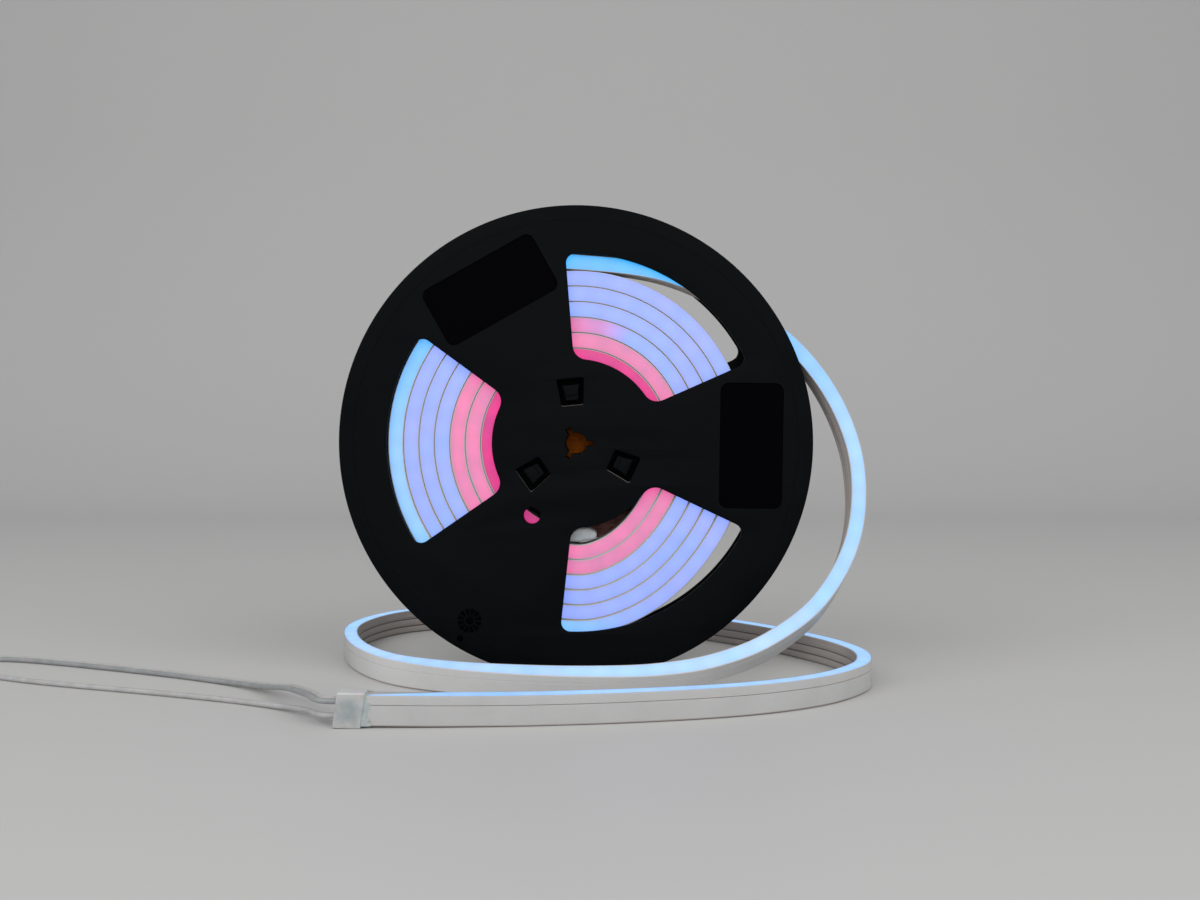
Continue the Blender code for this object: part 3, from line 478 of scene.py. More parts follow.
def silicone(name, glowing, strip_run=0.0):
    """Matt white silicone. On the lit face, light of the diodes' colour comes through it."""
    shader = Shader(name, 0.5, 0.35, Subsurface_Weight=0.12, Subsurface_Scale=0.0012, Emission_Strength=1.0)
    grain = shader.noise(1800, 3)
    smear = shader.noise(60, 4)
    shader.link(shader.bump(grain, 0.00005, 0.3, shader.bump(smear, 0.0002, 0.15)), "Normal")
    coordinates = shader.node("UVMap", {"uv_map": "strip"}).outputs["UV"]
    run = shader.along(coordinates, "X")
    across = shader.along(coordinates, "Y")
    walls = wall_colour(shader, smear, across, not glowing)
    if not glowing:
        shader.link(walls, "Base Color")
        shader.link(shader.remap(smear, 0.3, 0.7, 0.40, 0.54), "Roughness")
        # Painted light on the walls of one stretch of the free run
        shader.link(painted_wall_light(shader, run), "Emission Color")
        return shader.material
    distance = shader.math("ABSOLUTE", across)
    lit = lit_share(shader, run, across, distance, strip_run)
    glow = diode_light(shader, run, distance, lit)
    # Painted shade on the first turn's lit face
    past_magenta = shader.remap(run, MAGENTA_END - 0.01, MAGENTA_END + 0.01, 0.0, 1.0)
    face = shader.mix(past_magenta, FIRST_TURN_FACE_SHADE, FACE_WHITE)
    shader.link(shader.mix(lit, walls, face), "Base Color")
    shader.link(shader.remap(smear, 0.3, 0.7, 0.30, 0.46), "Roughness")
    shader.link(shader.mix(lit, painted_wall_light(shader, run), glow), "Emission Color")
    return shader.material


def wire_jacket(name, low, high):
    """Slightly translucent pale jacket with the grey of the tinned strands showing through."""
    shader = Shader(name, 0.32, 0.45, Subsurface_Weight=0.2, Subsurface_Scale=0.0006)
    shader.link(shader.mottle(shader.noise(220, 3), low, high), "Base Color")
    shader.link(shader.bump(shader.noise(1500, 2), 0.00003, 0.3), "Normal")
    return shader.material


def frosted(centre):
    """Cloudy end cap with painted light on its top, a little darker and bluer where the potting shows in its
    middle.
    """
    shader = Shader("frosted_cap", 0.42, 0.4, Subsurface_Weight=0.3, Subsurface_Scale=0.0015)
    cloud = shader.noise(420, 4)
    edge = shader.mottle(cloud, (0.42, 0.43, 0.425), (0.47, 0.475, 0.47))
    ragged = shader.remap(cloud, 0.3, 0.7, -0.6 * MM, 0.6 * MM)
    reach = shader.math("ADD", shader.distance_from(centre), ragged)
    potting = shader.remap(reach, POTTING_FULL_REACH, POTTING_END_REACH, 0.85, 0.0, smooth=True)
    body = shader.mix(potting, edge, (0.275, 0.315, 0.325))
    # Painted light: the top of the cap is painted lighter
    height = shader.along(shader.position(), "Z")
    top = shader.remap(height, CAP_TOP_HEIGHT - 0.6 * MM, CAP_TOP_HEIGHT - 0.2 * MM, 0.0, 1.0)
    shader.link(shader.mix(top, body, (0.60, 0.605, 0.60)), "Base Color")
    shader.link(shader.bump(cloud, 0.0001, 0.4), "Normal")
    return shader.material


def mottled(name, roughness, specular, pattern, low, high, bump, **constants):
    """Material whose colour and bumps follow one noise, given by its scale and its detail."""
    shader = Shader(name, roughness, specular, **constants)
    cloud = shader.noise(*pattern)
    shader.link(shader.mottle(cloud, low, high), "Base Color")
    shader.link(shader.bump(cloud, *bump), "Normal")
    return shader.material


def glue():
    """Clear glue, dried thin on the white silicone."""
    return mottled("clear_glue", 0.3, 0.5, (500, 3), (0.43, 0.445, 0.45), (0.50, 0.505, 0.50),
                   (0.0001, 0.4))


def plug():
    """Milky rubber plug."""
    return mottled("rubber_plug", 0.4, 0.4, (380, 4), (0.36, 0.385, 0.40), (0.46, 0.485, 0.50),
                   (0.00008, 0.3), Subsurface_Weight=0.25, Subsurface_Scale=0.0012)


def brown_board():
    """Dull brown fibre board."""
    return mottled("brown_disc", 0.85, 0.2, (900, 5), (0.36, 0.080, 0.002), (0.52, 0.130, 0.004),
                   (0.00006, 0.5))


def nylon():
    """Natural nylon of the connector."""
    shader = Shader("connector_nylon", 0.38, 0.45, Subsurface_Weight=0.25, Subsurface_Scale=0.001)
    shader.link(shader.mix(shader.noise(160, 3), (0.62, 0.61, 0.56), (0.74, 0.73, 0.69)), "Base Color")
    shader.link(shader.bump(shader.noise(1400, 2), 0.00004, 0.3), "Normal")
    return shader.material


def tin():
    """Tinned metal of the pins."""
    shader = Shader("tinned_metal", 0.28, Metallic=1.0)
    tone = shader.noise(500, 4)
    shader.link(shader.mix(tone, (0.62, 0.60, 0.55), (0.80, 0.79, 0.76)), "Base Color")
    shader.link(shader.remap(tone, 0.3, 0.7, 0.2, 0.4), "Roughness")
    return shader.material


def board_film():
    """Pale film of the flexible LED board."""
    shader = Shader("led_board", 0.4)
    shader.link(shader.mix(shader.noise(300, 3), (0.72, 0.70, 0.62), (0.80, 0.79, 0.74)), "Base Color")
    return shader.material


def studio_paper():
    """Matt seamless paper, with painted light that makes it a little lighter towards the backdrop."""
    shader = Shader("studio_paper", 0.55, 0.3)
    drift = shader.remap(shader.noise(7, 4), 0.3, 0.7, -0.05, 0.05)
    back = shader.math("ADD", shader.along(shader.position(), "Y"), drift)
    share = shader.remap(back, 0.1, 0.7, 0.0, 1.0)
    shader.link(shader.mix(share, (0.585, 0.58, 0.57), (0.61, 0.604, 0.60)), "Base Color")
    shader.link(shader.bump(shader.noise(900, 3), 0.00006, 0.25), "Normal")
    return shader.material


# Geometry

def link(item):
    bpy.context.scene.collection.objects.link(item)
    return item


def vectors(places, scale=1):
    return [Vector(place) * scale for place in places]


def polar(radius, angle):
    return Vector((radius * math.cos(angle), radius * math.sin(angle)))


def turned(points, angle):
    cosine, sine = math.cos(angle), math.sin(angle)
    return [Vector((p.x * cosine - p.y * sine, p.x * sine + p.y * cosine)) for p in points]


def arc(centre, radius, start, end, segments):
    step = (end - start) / segments
    return [Vector(centre) + polar(radius, start + step * i) for i in range(segments + 1)]


def circle(radius, segments, centre=(0, 0)):
    return arc(centre, radius, -math.pi / 2, math.pi * 1.5, segments)[:-1]


def rectangle(left, low, right, high):
    return vectors([(left, low), (right, low), (right, high), (left, high)])


def rounded_outline(corners, radius, segments=4):
    """The closed outline, running anticlockwise, with each corner rounded."""
    points = []
    for i, corner in enumerate(corners):
        back = (corners[i - 1] - corner).normalized()
        ahead = (corners[(i + 1) % len(corners)] - corner).normalized()
        half = back.angle(ahead) / 2
        centre = corner + (back + ahead).normalized() * (radius / math.sin(half))
        first = corner + back * (radius / math.tan(half)) - centre
        last = corner + ahead * (radius / math.tan(half)) - centre
        start = math.atan2(first.y, first.x)
        turn = (math.atan2(last.y, last.x) - start + math.pi) % (2 * math.pi) - math.pi
        points += arc(centre, radius, start, start + turn, segments)
    return points


def window_outline(inner_radius, outer_radius):
    """Window between two spokes, its middle towards +X."""
    side_angle = SPOKE_SIDE_ANGLE - math.radians(60)
    along = polar(1, side_angle)
    inward = polar(1, side_angle + math.pi / 2)
    centres = []
    for corner, reach in [(WINDOW_INNER_CORNER, inner_radius + WINDOW_INNER_CORNER),
                          (WINDOW_OUTER_CORNER, outer_radius - WINDOW_OUTER_CORNER)]:
        offset = SPOKE_SIDE_OFFSET + corner
        centres.append(inward * offset + along * math.sqrt(reach ** 2 - offset ** 2))
    inner_centre, outer_centre = centres
    side_normal = side_angle - math.pi / 2
    inner_touch = math.atan2(inner_centre.y, inner_centre.x)
    outer_touch = math.atan2(outer_centre.y, outer_centre.x)
    lower_half = arc(inner_centre, WINDOW_INNER_CORNER, inner_touch + math.pi, side_normal + math.pi * 2, 8)
    lower_half += arc(outer_centre, WINDOW_OUTER_CORNER, side_normal, outer_touch, 8)
    lower_half += arc((0, 0), outer_radius, outer_touch, 0, 18)[1:]
    upper_half = [Vector((p.x, -p.y)) for p in reversed(lower_half[:-1])]
    inner_arc = arc((0, 0), inner_radius, -inner_touch, inner_touch, 16)[1:-1]
    return lower_half + upper_half + inner_arc


def window_outlines(inner_radius, outer_radius, turn):
    outline = window_outline(inner_radius, outer_radius)
    return [turned(outline, turn + math.radians(60 + 120 * i)) for i in range(3)]


def bore_outline():
    half_angle = math.asin(KEY_SLOT_WIDTH / 2 / BORE_RADIUS)
    points = []
    for slot in range(3):
        middle = PATTERN_TURN + math.radians(120 * slot)
        along = polar(1, middle)
        across = polar(KEY_SLOT_WIDTH / 2, middle + math.pi / 2)
        points += [along * KEY_SLOT_RADIUS - across, along * KEY_SLOT_RADIUS + across]
        points += arc((0, 0), BORE_RADIUS, middle + half_angle, middle + math.radians(120) - half_angle, 14)
    return points


def mark_outlines():
    """A small wheel: a ring of rays round a circle, with no letters or numbers."""
    centre = polar(MARK_PLACE_RADIUS, MARK_PLACE_TURN)
    step = 2 * math.pi / MARK_RAYS
    outlines = [circle(MARK_HUB_RADIUS, 24, centre)]
    for ray in range(MARK_RAYS):
        start = step * ray
        outer = arc(centre, MARK_RADIUS, start, start + step * 0.8, 4)
        inner = arc(centre, MARK_HUB_RADIUS + MARK_HUB_GAP, start + step * 0.7, start + step * 0.1, 2)
        outlines.append(outer + inner)
    return outlines


def snap_outlines(margin, corner, ledge=0.0):
    """The three snap windows, or their posts, which leave a margin round them."""
    inner = SNAP_CENTRE_RADIUS - SNAP_LENGTH / 2 + margin + ledge
    outer = SNAP_CENTRE_RADIUS + SNAP_LENGTH / 2 - margin * 1.25
    half_inner = SNAP_INNER_WIDTH / 2 - margin
    half_outer = SNAP_OUTER_WIDTH / 2 - margin
    corners = vectors([(inner, -half_inner), (outer, -half_outer), (outer, half_outer), (inner, half_inner)])
    outline = rounded_outline(corners, corner)
    return [turned(outline, SNAP_TURN + math.radians(120 * i)) for i in (1, 2, 3)]


def flat_piece(name, outlines, front_y, back_y, edge=0.0):
    """A flat piece facing -Y, made of closed outlines in the plane of the reel, its edges rounded."""
    curve = bpy.data.curves.new(name, "CURVE")
    curve.dimensions = "2D"
    curve.fill_mode = "BOTH"
    curve.extrude = (back_y - front_y) / 2 - edge
    curve.bevel_depth = edge
    curve.offset = -edge
    curve.bevel_resolution = 2
    for outline in outlines:
        spline = curve.splines.new("POLY")
        spline.points.add(len(outline) - 1)
        for spline_point, point in zip(spline.points, outline):
            spline_point.co = (point.x, point.y, 0, 1)
        spline.use_cyclic_u = True
    drawn = link(bpy.data.objects.new(name + "_outline", curve))
    drawn.location = AXIS + Vector((0, (front_y + back_y) / 2, 0))
    drawn.rotation_euler = (math.pi / 2, 0, 0)
    return as_mesh(drawn, name)


def as_mesh(item, name):
    """The evaluated item as a mesh object, the item itself removed."""
    bpy.context.view_layer.update()
    evaluated = item.evaluated_get(bpy.context.evaluated_depsgraph_get())
    mesh = bpy.data.meshes.new_from_object(evaluated)
    mesh.transform(item.matrix_world)
    bpy.data.objects.remove(item, do_unlink=True)
    work = bmesh.new()
    work.from_mesh(mesh)
    bmesh.ops.remove_doubles(work, verts=work.verts, dist=WELD_DISTANCE)
    bmesh.ops.recalc_face_normals(work, faces=work.faces)
    work.to_mesh(mesh)
    work.free()
    mesh.name = name
    return link(bpy.data.objects.new(name, mesh))


def combine(piece, tools, operation):
    """The piece with the tools joined to it or cut out of it; the tools are used up."""
    for tool in tools:
        modifier = piece.modifiers.new(tool.name, "BOOLEAN")
        modifier.operation = operation
        modifier.object = tool
    name = piece.name
    piece.name = name + "_before"
    result = as_mesh(piece, name)
    for tool in tools:
        bpy.data.objects.remove(tool, do_unlink=True)
    return result


def dress(piece, material, replaced=(), smooth=math.radians(32)):
    piece.data.materials.clear()
    for item in material if isinstance(material, list) else [material]:
        piece.data.materials.append(item)
    piece.data.shade_smooth()
    piece.data.set_sharp_from_angle(angle=smooth)
    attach(piece, BODY)
    if replaced:
        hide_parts(*replaced)
    return piece


def sweep(name, section, frames, start_run=0.0):
    """A closed section swept along frames of (place, across, up).

    Its UV map holds the run along it and the way round it from the middle of its top, in metres.
    """
    mesh = bpy.data.meshes.new(name)
    work = bmesh.new()
    uv = work.loops.layers.uv.new("strip")
    around = [0.0]
    for a, b in zip(section, section[1:] + section[:1]):
        around.append(around[-1] + (b - a).length)
    highest = max(range(len(section)), key=lambda i: (section[i].y, section[i].x))
    top_middle = around[highest] + section[highest].x
    rings, runs = [], []
    run = start_run
    for index, (place, across, up) in enumerate(frames):
        if index:
            run += (place - frames[index - 1][0]).length
        runs.append(run)
        rings.append([work.verts.new(place + (across * p.x + up * p.y) * MM) for p in section])
    size = len(section)
    for index in range(len(rings) - 1):
        for i in range(size):
            j = (i + 1) % size
            ring, following = rings[index], rings[index + 1]
            face = work.faces.new((ring[i], ring[j], following[j], following[i]))
            corners = [(runs[index], around[i]), (runs[index], around[i + 1]),
                       (runs[index + 1], around[i + 1]), (runs[index + 1], around[i])]
            for loop, (length, way) in zip(face.loops, corners):
                loop[uv].uv = (length, (way - top_middle) * MM)
    for ring, length in ((rings[0], runs[0]), (rings[-1], runs[-1])):
        cap = work.faces.new(ring)
        for loop in cap.loops:
            loop[uv].uv = (length, END_FACE_ACROSS)
    bmesh.ops.triangulate(work, faces=[f for f in work.faces if len(f.verts) > 4])
    bmesh.ops.recalc_face_normals(work, faces=work.faces)
    work.to_mesh(mesh)
    work.free()
    return link(bpy.data.objects.new(name, mesh))


def channel_section():
    """U-shaped channel with rounded outer corners, its mouth towards the lit face."""
    mouth = SEAM_Y - SEAM_HALF_GAP
    low = rounded_outline(rectangle(-HALF_WIDTH, STRIP_BOTTOM, HALF_WIDTH, mouth), CHANNEL_CORNER)[:10]
    grooves = []
    for height in GROOVE_HEIGHTS:
        grooves += [(HALF_WIDTH, height - GROOVE_HALF), (HALF_WIDTH - GROOVE_DEPTH, height),
                    (HALF_WIDTH, height + GROOVE_HALF)]
    right = [(HALF_WIDTH, mouth - SEAM_EDGE), (HALF_WIDTH - SEAM_EDGE, mouth), (CHANNEL_INSIDE, mouth),
             (CHANNEL_INSIDE, CHANNEL_FLOOR)]
    left = [(-x, y) for x, y in reversed(right)]
    return low + vectors(grooves + right + left)


def diffuser_section():
    """Solid bar on the channel's mouth, its upper edges rounded."""
    foot = SEAM_Y + SEAM_HALF_GAP
    top = rounded_outline(rectangle(-HALF_WIDTH, foot, HALF_WIDTH, STRIP_FACE), DIFFUSER_CORNER, 5)[12:]
    low = [(-HALF_WIDTH, foot + SEAM_EDGE), (-HALF_WIDTH + SEAM_EDGE, foot), (HALF_WIDTH - SEAM_EDGE, foot),
           (HALF_WIDTH, foot + SEAM_EDGE)]
    return vectors(low) + top


def through_knots(knots, position):
    """Value of a smooth curve through (position, value) knots that rise in position."""
    index = 1
    while index < len(knots) - 3 and position > knots[index + 1][0]:
        index += 1
    (p0, v0), (p1, v1), (p2, v2), (p3, v3) = knots[index - 1:index + 3]
    share = (position - p1) / (p2 - p1)
    slope_1 = (v2 - v0) / (p2 - p0) * (p2 - p1)
    slope_2 = (v3 - v1) / (p3 - p1) * (p2 - p1)
    square, cube = share ** 2, share ** 3
    return (v1 * (2 * cube - 3 * square + 1) + slope_1 * (cube - 2 * square + share)
            + v2 * (3 * square - 2 * cube) + slope_2 * (cube - square))


def bump_knots():
    """The bumps of one turn, with one more before it and two after it."""
    before = [(angle - 360, bump) for angle, bump in TURN_BUMPS[-1:]]
    after = [(angle + 360, bump) for angle, bump in TURN_BUMPS[:2]]
    return before + TURN_BUMPS + after


def turn_radius(angle):
    """Radius of the strip's middle at an angle wound on, clockwise from the first turn's start."""
    turns, rest = divmod(angle, 2 * math.pi)
    share = min(max((rest - STEP_FROM) / (STEP_TO - STEP_FROM), 0), 1)
    step = share ** 2 * (3 - 2 * share)
    out_of_round = through_knots(bump_knots(), math.degrees(rest)) * MM
    out_of_round *= 1 - BUMP_FADE * (turns + step)
    return FIRST_TURN_RADIUS + TURN_PITCH * (turns + step) + out_of_round


def wound_point(angle):
    place = polar(turn_radius(angle), FIRST_TURN_ANGLE - angle)
    return AXIS + Vector((place.x, 0, place.y))


def wound_frames():
    count = round((WOUND_END - WOUND_START) / (2 * math.pi) * TURN_SEGMENTS)
    frames = []
    for i in range(count + 1):
        angle = WOUND_START + (WOUND_END - WOUND_START) * i / count
        heading = (wound_point(angle + HEADING_STEP) - wound_point(angle - HEADING_STEP)).normalized()
        up = Vector((0, -1, 0))
        frames.append((wound_point(angle), heading.cross(up), up))
    return frames


def smooth_route(points, spacing):
    """Points evenly spaced along one smooth curve through the given points."""
    positions = [0.0]
    for a, b in zip(points, points[1:]):
        positions.append(positions[-1] + (b - a).length)
    length = positions[-1]
    ends = [points[0] * 2 - points[1]] + list(points) + [points[-1] * 2 - points[-2]]
    positions = [-positions[1]] + positions + [2 * positions[-1] - positions[-2]]
    count = round(length / spacing)
    size = len(points[0])
    curves = [[(position, end[k]) for position, end in zip(positions, ends)] for k in range(size)]
    result = []
    for i in range(count + 1):
        at = length * i / count
        result.append(Vector([through_knots(curve, at) for curve in curves]))
    return result


def free_route():
    """Places and facings along the free run, from the wound strip to the outer end cap."""
    knots = []
    for angle, lift in [(BUTT_GAP / turn_radius(WOUND_END), 0), (math.radians(6), FIRST_TURN_LIFT)]:
        place = wound_point(WOUND_END + angle)
        place += (place - AXIS).normalized() * lift
        knots.append(Vector((*place, 0, -MM, 0)))
    knots += vectors(FREE_ROUTE, MM)
    return [(Vector(p[:3]), Vector(p[3:]).normalized()) for p in smooth_route(knots, FREE_SPACING)]


def headings(points):
    result = []
    for i in range(len(points)):
        ahead = points[min(i + 1, len(points) - 1)] - points[i]
        behind = points[i] - points[max(i - 1, 0)]
        result.append((ahead.normalized() + behind.normalized()).normalized())
    return result


def free_frames(route):
    places = [place for place, facing in route]
    frames = []
    for (place, facing), heading in zip(route, headings(places)):
        up = (facing - heading * facing.dot(heading)).normalized()
        frames.append((place, heading.cross(up), up))
    return frames


def tube(name, points, radius, segments=20):
    """A round tube along the points, its ends closed."""
    frames = []
    side = None
    for point, heading in zip(points, headings(points)):
        if side is None:
            side = heading.orthogonal().normalized()
        side = (side - heading * side.dot(heading)).normalized()
        frames.append((point, side, heading.cross(side)))
    section = [Vector(p) / MM for p in circle(radius, segments)]
    return sweep(name, section, frames)


def length_of(points):
    return sum((b - a).length for a, b in zip(points, points[1:]))


def beside(points, offset):
    moved = []
    for point, heading in zip(points, headings(points)):
        moved.append(point + Vector((-heading.y, heading.x, 0)).normalized() * offset)
    return moved


def cap_centre(route):
    return route[-1][0] + Vector((OUTER_CAP_POCKET - BUTT_GAP - OUTER_CAP_LENGTH / 2, 0, 0))


def wire_routes(route):
    """Name and points of each lead wire, from inside the cap to inside the connector."""
    centre = cap_centre(route)
    face_x = centre.x - OUTER_CAP_LENGTH / 2
    pair = [Vector((face_x, centre.y, UPPER_WIRE_HEIGHT))] + vectors(WIRE_PAIR_ROUTE, MM)
    wires = [
        ("lead_wire_rear", WIRE_PAIR_OFFSET, UPPER_WIRE_HEIGHT, beside(pair, -WIRE_PAIR_OFFSET)[1:]),
        ("lead_wire_front", -WIRE_PAIR_OFFSET, UPPER_WIRE_HEIGHT, beside(pair, WIRE_PAIR_OFFSET)[1:]),
        ("lead_wire_lower", 0, LOWER_WIRE_HEIGHT, vectors(LOWER_WIRE_ROUTE, MM)),
    ]
    routes = {}
    for way, (name, offset, height, middle) in enumerate(wires):
        exit_point = Vector((face_x, centre.y + offset, height))
        mouth = CONNECTOR_PLACE + Vector((0, CONNECTOR_WAY_PITCH * (1 - way), 0))
        start = exit_point + Vector((WIRE_SINK, 0, 0))
        end = mouth - Vector((CONNECTOR_WIRE_SINK, 0, 0))
        routes[name] = (exit_point, smooth_route([start] + middle + [mouth, end], WIRE_SPACING))
    return routes


def strip_layers(run_name, looks, lit_slot, frames, start_run=0.0):
    """Channel and diffuser of the wound or the free run."""
    layers = [("channel", channel_section(), "white", "white_silicone"),
              ("diffuser", diffuser_section(), "glow", lit_slot)]
    pieces = []
    for layer, section, look, slot in layers:
        piece = sweep(f"strip_{layer}_{run_name}", section, frames, start_run)
        pieces.append(dress(piece, looks[look], [f"{run_name}_{layer}"], STRIP_SMOOTHING))
    return pieces


def make_cords(looks, route, start_run):
    """The strip's free run and the three lead wires."""
    frames = free_frames(route)
    channel, diffuser = strip_layers("free", looks, "lit_blue", frames, start_run)
    for way, (name, (exit_point, points)) in enumerate(wire_routes(route).items()):
        wire = tube(name + "_jacket", points, WIRE_DIAMETER / 2)
        dress(wire, looks[name], [name])


def rim_groove(name, front_y, back_y):
    return flat_piece(name, [circle(radius, 256) for radius in RIM_GROOVE_RADII], front_y, back_y)


def front_cuts():
    """What is cut shallowly into the front face: label recesses, rim groove, gate pit and mould mark."""
    start, face = -FLANGE_OUTER_Y - CUT_START, -FLANGE_OUTER_Y
    corners = rectangle(-LABEL_WIDTH / 2, -LABEL_HEIGHT / 2, LABEL_WIDTH / 2, LABEL_HEIGHT / 2)
    label = [p + Vector((LABEL_CENTRE_RADIUS, 0)) for p in rounded_outline(corners, LABEL_CORNER_RADIUS, 6)]
    labels = [turned(label, PATTERN_TURN + math.radians(120 * i)) for i in range(2)]
    recess = flat_piece("label_recesses", labels, start, face + LABEL_DEPTH)
    groove = rim_groove("rim_groove", start, face + RIM_GROOVE_DEPTH)
    pit_outline = circle(GATE_PIT_RADIUS, 24, polar(GATE_PIT_PLACE_RADIUS, GATE_PIT_PLACE_TURN))
    pit = flat_piece("gate_pit", [pit_outline], start, face + GATE_PIT_DEPTH)
    wheel = flat_piece("mould_mark", mark_outlines(), start, face + MARK_DEPTH)
    return [recess, groove, pit, wheel]


def mark_front_faces(plate):
    """Give the label recesses their darker look and the upward faces at the snap windows' lower edges a
    painted highlight.
    """
    for face in plate.data.polygons:
        depth = face.center.y + FLANGE_OUTER_Y
        if face.normal.y < -0.9 and RECESS_LEAST_DEPTH < depth < RECESS_MOST_DEPTH:
            face.material_index = 1
        # Painted highlight on the faces that look upwards near the snap windows
        off = math.hypot(face.center.x, face.center.z - REEL_RADIUS) - SNAP_CENTRE_RADIUS
        if face.normal.z > 0.55 and -SNAP_HIGHLIGHT_REACH < off < SNAP_HIGHLIGHT_REACH:
            face.material_index = 2


def make_front_flange(looks):
    """Front moulding: flange with its windows, holes and shallow cuts, and the spigot that enters the hub."""
    outlines = [circle(REEL_RADIUS, 256)]
    outlines += window_outlines(WINDOW_INNER_RADIUS, WINDOW_OUTER_RADIUS, PATTERN_TURN)
    outlines += snap_outlines(0.0, SNAP_WINDOW_CORNER)
    outlines.append(circle(PEEP_HOLE_RADIUS, 40, polar(PEEP_HOLE_CENTRE_RADIUS, PEEP_HOLE_TURN)))
    outlines.append(bore_outline())
    plate = flat_piece("front_flange", outlines, -FLANGE_OUTER_Y, -FLANGE_INNER_Y, EDGE_ROUNDING)
    spigot = flat_piece("spigot", [circle(SPIGOT_OUTER_RADIUS, 96), circle(SPIGOT_INNER_RADIUS, 96)],
                        -FLANGE_INNER_Y - OVERLAP, SPIGOT_BACK, SPIGOT_EDGE)
    plate = combine(plate, [spigot], "UNION")
    plate = combine(plate, front_cuts(), "DIFFERENCE")
    blacks = [looks["black"], looks["black_recess"], looks["black_painted_highlight"]]
    dress(plate, blacks, ["reel_front_half"])
    mark_front_faces(plate)


def make_back_flange(looks):
    """Back moulding: flange with its windows, hub barrel, the bore's boss and the snap posts."""
    outlines = [circle(REEL_RADIUS, 256)]
    back_turn = PATTERN_TURN + BACK_WINDOW_TURN
    outlines += window_outlines(BACK_WINDOW_INNER_RADIUS, BACK_WINDOW_OUTER_RADIUS, back_turn)
    plate = flat_piece("back_flange", outlines, FLANGE_INNER_Y, FLANGE_OUTER_Y, EDGE_ROUNDING)
    foot = FLANGE_INNER_Y + OVERLAP
    barrel = flat_piece("barrel", [circle(HUB_RADIUS, 128), circle(HUB_BORE_RADIUS, 128)],
                        -FLANGE_INNER_Y + FIT_GAP, foot)
    boss = flat_piece("boss", [circle(BOSS_RADIUS, 64)], SPIGOT_BACK + FIT_GAP, foot)
    posts = flat_piece("posts", snap_outlines(SNAP_POST_MARGIN, SNAP_POST_CORNER),
                       SNAP_POST_FRONT + SNAP_LEDGE_HEIGHT, foot, SNAP_POST_EDGE)
    ledge_outlines = snap_outlines(SNAP_POST_MARGIN + SNAP_LEDGE_INSET, SNAP_POST_CORNER, SNAP_LEDGE)
    ledges = flat_piece("ledges", ledge_outlines, SNAP_POST_FRONT, 0.0, SNAP_POST_EDGE)
    plate = combine(plate, [barrel, boss, posts, ledges], "UNION")
    bore = flat_piece("bore", [bore_outline()], -BORE_CUT_Y, BORE_CUT_Y)
    seat = flat_piece("seat", [circle(DISC_SEAT_RADIUS, 64)], DISC_SEAT_Y - DISC_CLEARANCE, BORE_CUT_Y)
    groove = rim_groove("back_groove", FLANGE_OUTER_Y - RIM_GROOVE_DEPTH, FLANGE_OUTER_Y + CUT_START)
    plate = combine(plate, [bore, seat, groove], "DIFFERENCE")
    dress(plate, looks["black_back"], ["reel_back_half"])


def make_inner_cap(looks):
    """Rounded plug on the strip's inner end."""
    outline = vectors(INNER_CAP_OUTER_SIDE, MM)
    outline += arc(INNER_CAP_END_CENTRE, INNER_CAP_END_RADIUS, *INNER_CAP_END_TURNS, 8)
    outline += vectors(INNER_CAP_HUB_SIDE, MM)
    cap = flat_piece("inner_plug", [outline], -INNER_CAP_HALF_DEPTH, INNER_CAP_HALF_DEPTH, INNER_CAP_EDGE)
    dress(cap, looks["plug"], ["inner_end_cap"], math.radians(50))


def make_outer_cap(looks, route):
    """End cap, cut a little askew, with a thin ragged skirt of clear glue round the strip."""
    centre = cap_centre(route) + Vector((CAP_SHIFT, 0, 0))
    half = Vector((OUTER_CAP_LENGTH / 2, OUTER_CAP_HALF_WIDTH, OUTER_CAP_HALF_HEIGHT))
    mesh = bpy.data.meshes.new("outer_cap")
    work = bmesh.new()
    bmesh.ops.create_cube(work, size=2.0)
    bmesh.ops.scale(work, vec=half, verts=work.verts)
    bmesh.ops.bevel(work, geom=work.edges, offset=OUTER_CAP_BEVEL, segments=3, profile=0.6, affect="EDGES")
    for vertex in work.verts:
        vertex.co.x += vertex.co.z * math.tan(CAP_SKEW)
        vertex.co.z -= vertex.co.x * CAP_FALL
    bmesh.ops.translate(work, vec=centre, verts=work.verts)
    add_glue_skirt(work, centre, centre.x + half.x - GLUE_SINK)
    bmesh.ops.recalc_face_normals(work, faces=work.faces)
    work.to_mesh(mesh)
    work.free()
    cap = link(bpy.data.objects.new("outer_cap", mesh))
    return dress(cap, [looks["frosted"], looks["glue"]], ["outer_end_cap"], math.radians(40))


def glue_length(i):
    """Length of the ragged skirt of glue at its i-th point, in mm."""
    return 2.4 + 0.7 * math.sin(i * 0.42 + 0.6) + 0.4 * math.sin(i * 1.31) + 0.3 * math.sin(i * 2.7 + 1)


def glue_outward(point):
    """Direction away from the strip at a point of the skirt's inner outline."""
    out = Vector((math.copysign(min(abs(point.x), 1.0), point.x), 0)) * (abs(point.x) > 3.0)
    return out + Vector((0, math.copysign(1.0, point.y))) * (abs(point.y) > 4.9)


def add_glue_skirt(work, centre, start):
    """A thin closed shell round the strip where it enters the cap, its free edge ragged."""
    corners = vectors(GLUE_OUTLINE)
    points = []
    for a, b in zip(corners, corners[1:] + corners[:1]):
        steps = round((b - a).length / GLUE_SPACING)
        points += [a.lerp(b, i / steps) for i in range(steps)]
    rings = []
    for share, thickness in GLUE_PROFILE:
        ring = []
        for i, point in enumerate(points):
            x = start + glue_length(i) * share * MM
            place = point + glue_outward(point) * GLUE_THICKNESS * thickness
            ring.append(work.verts.new(Vector((x, centre.y + place.x * MM, centre.z + place.y * MM))))
        rings.append(ring)
    for ring, following in zip(rings, rings[1:] + rings[:1]):
        for i in range(len(points)):
            j = (i + 1) % len(points)
            work.faces.new((ring[i], ring[j], following[j], following[i])).material_index = 1


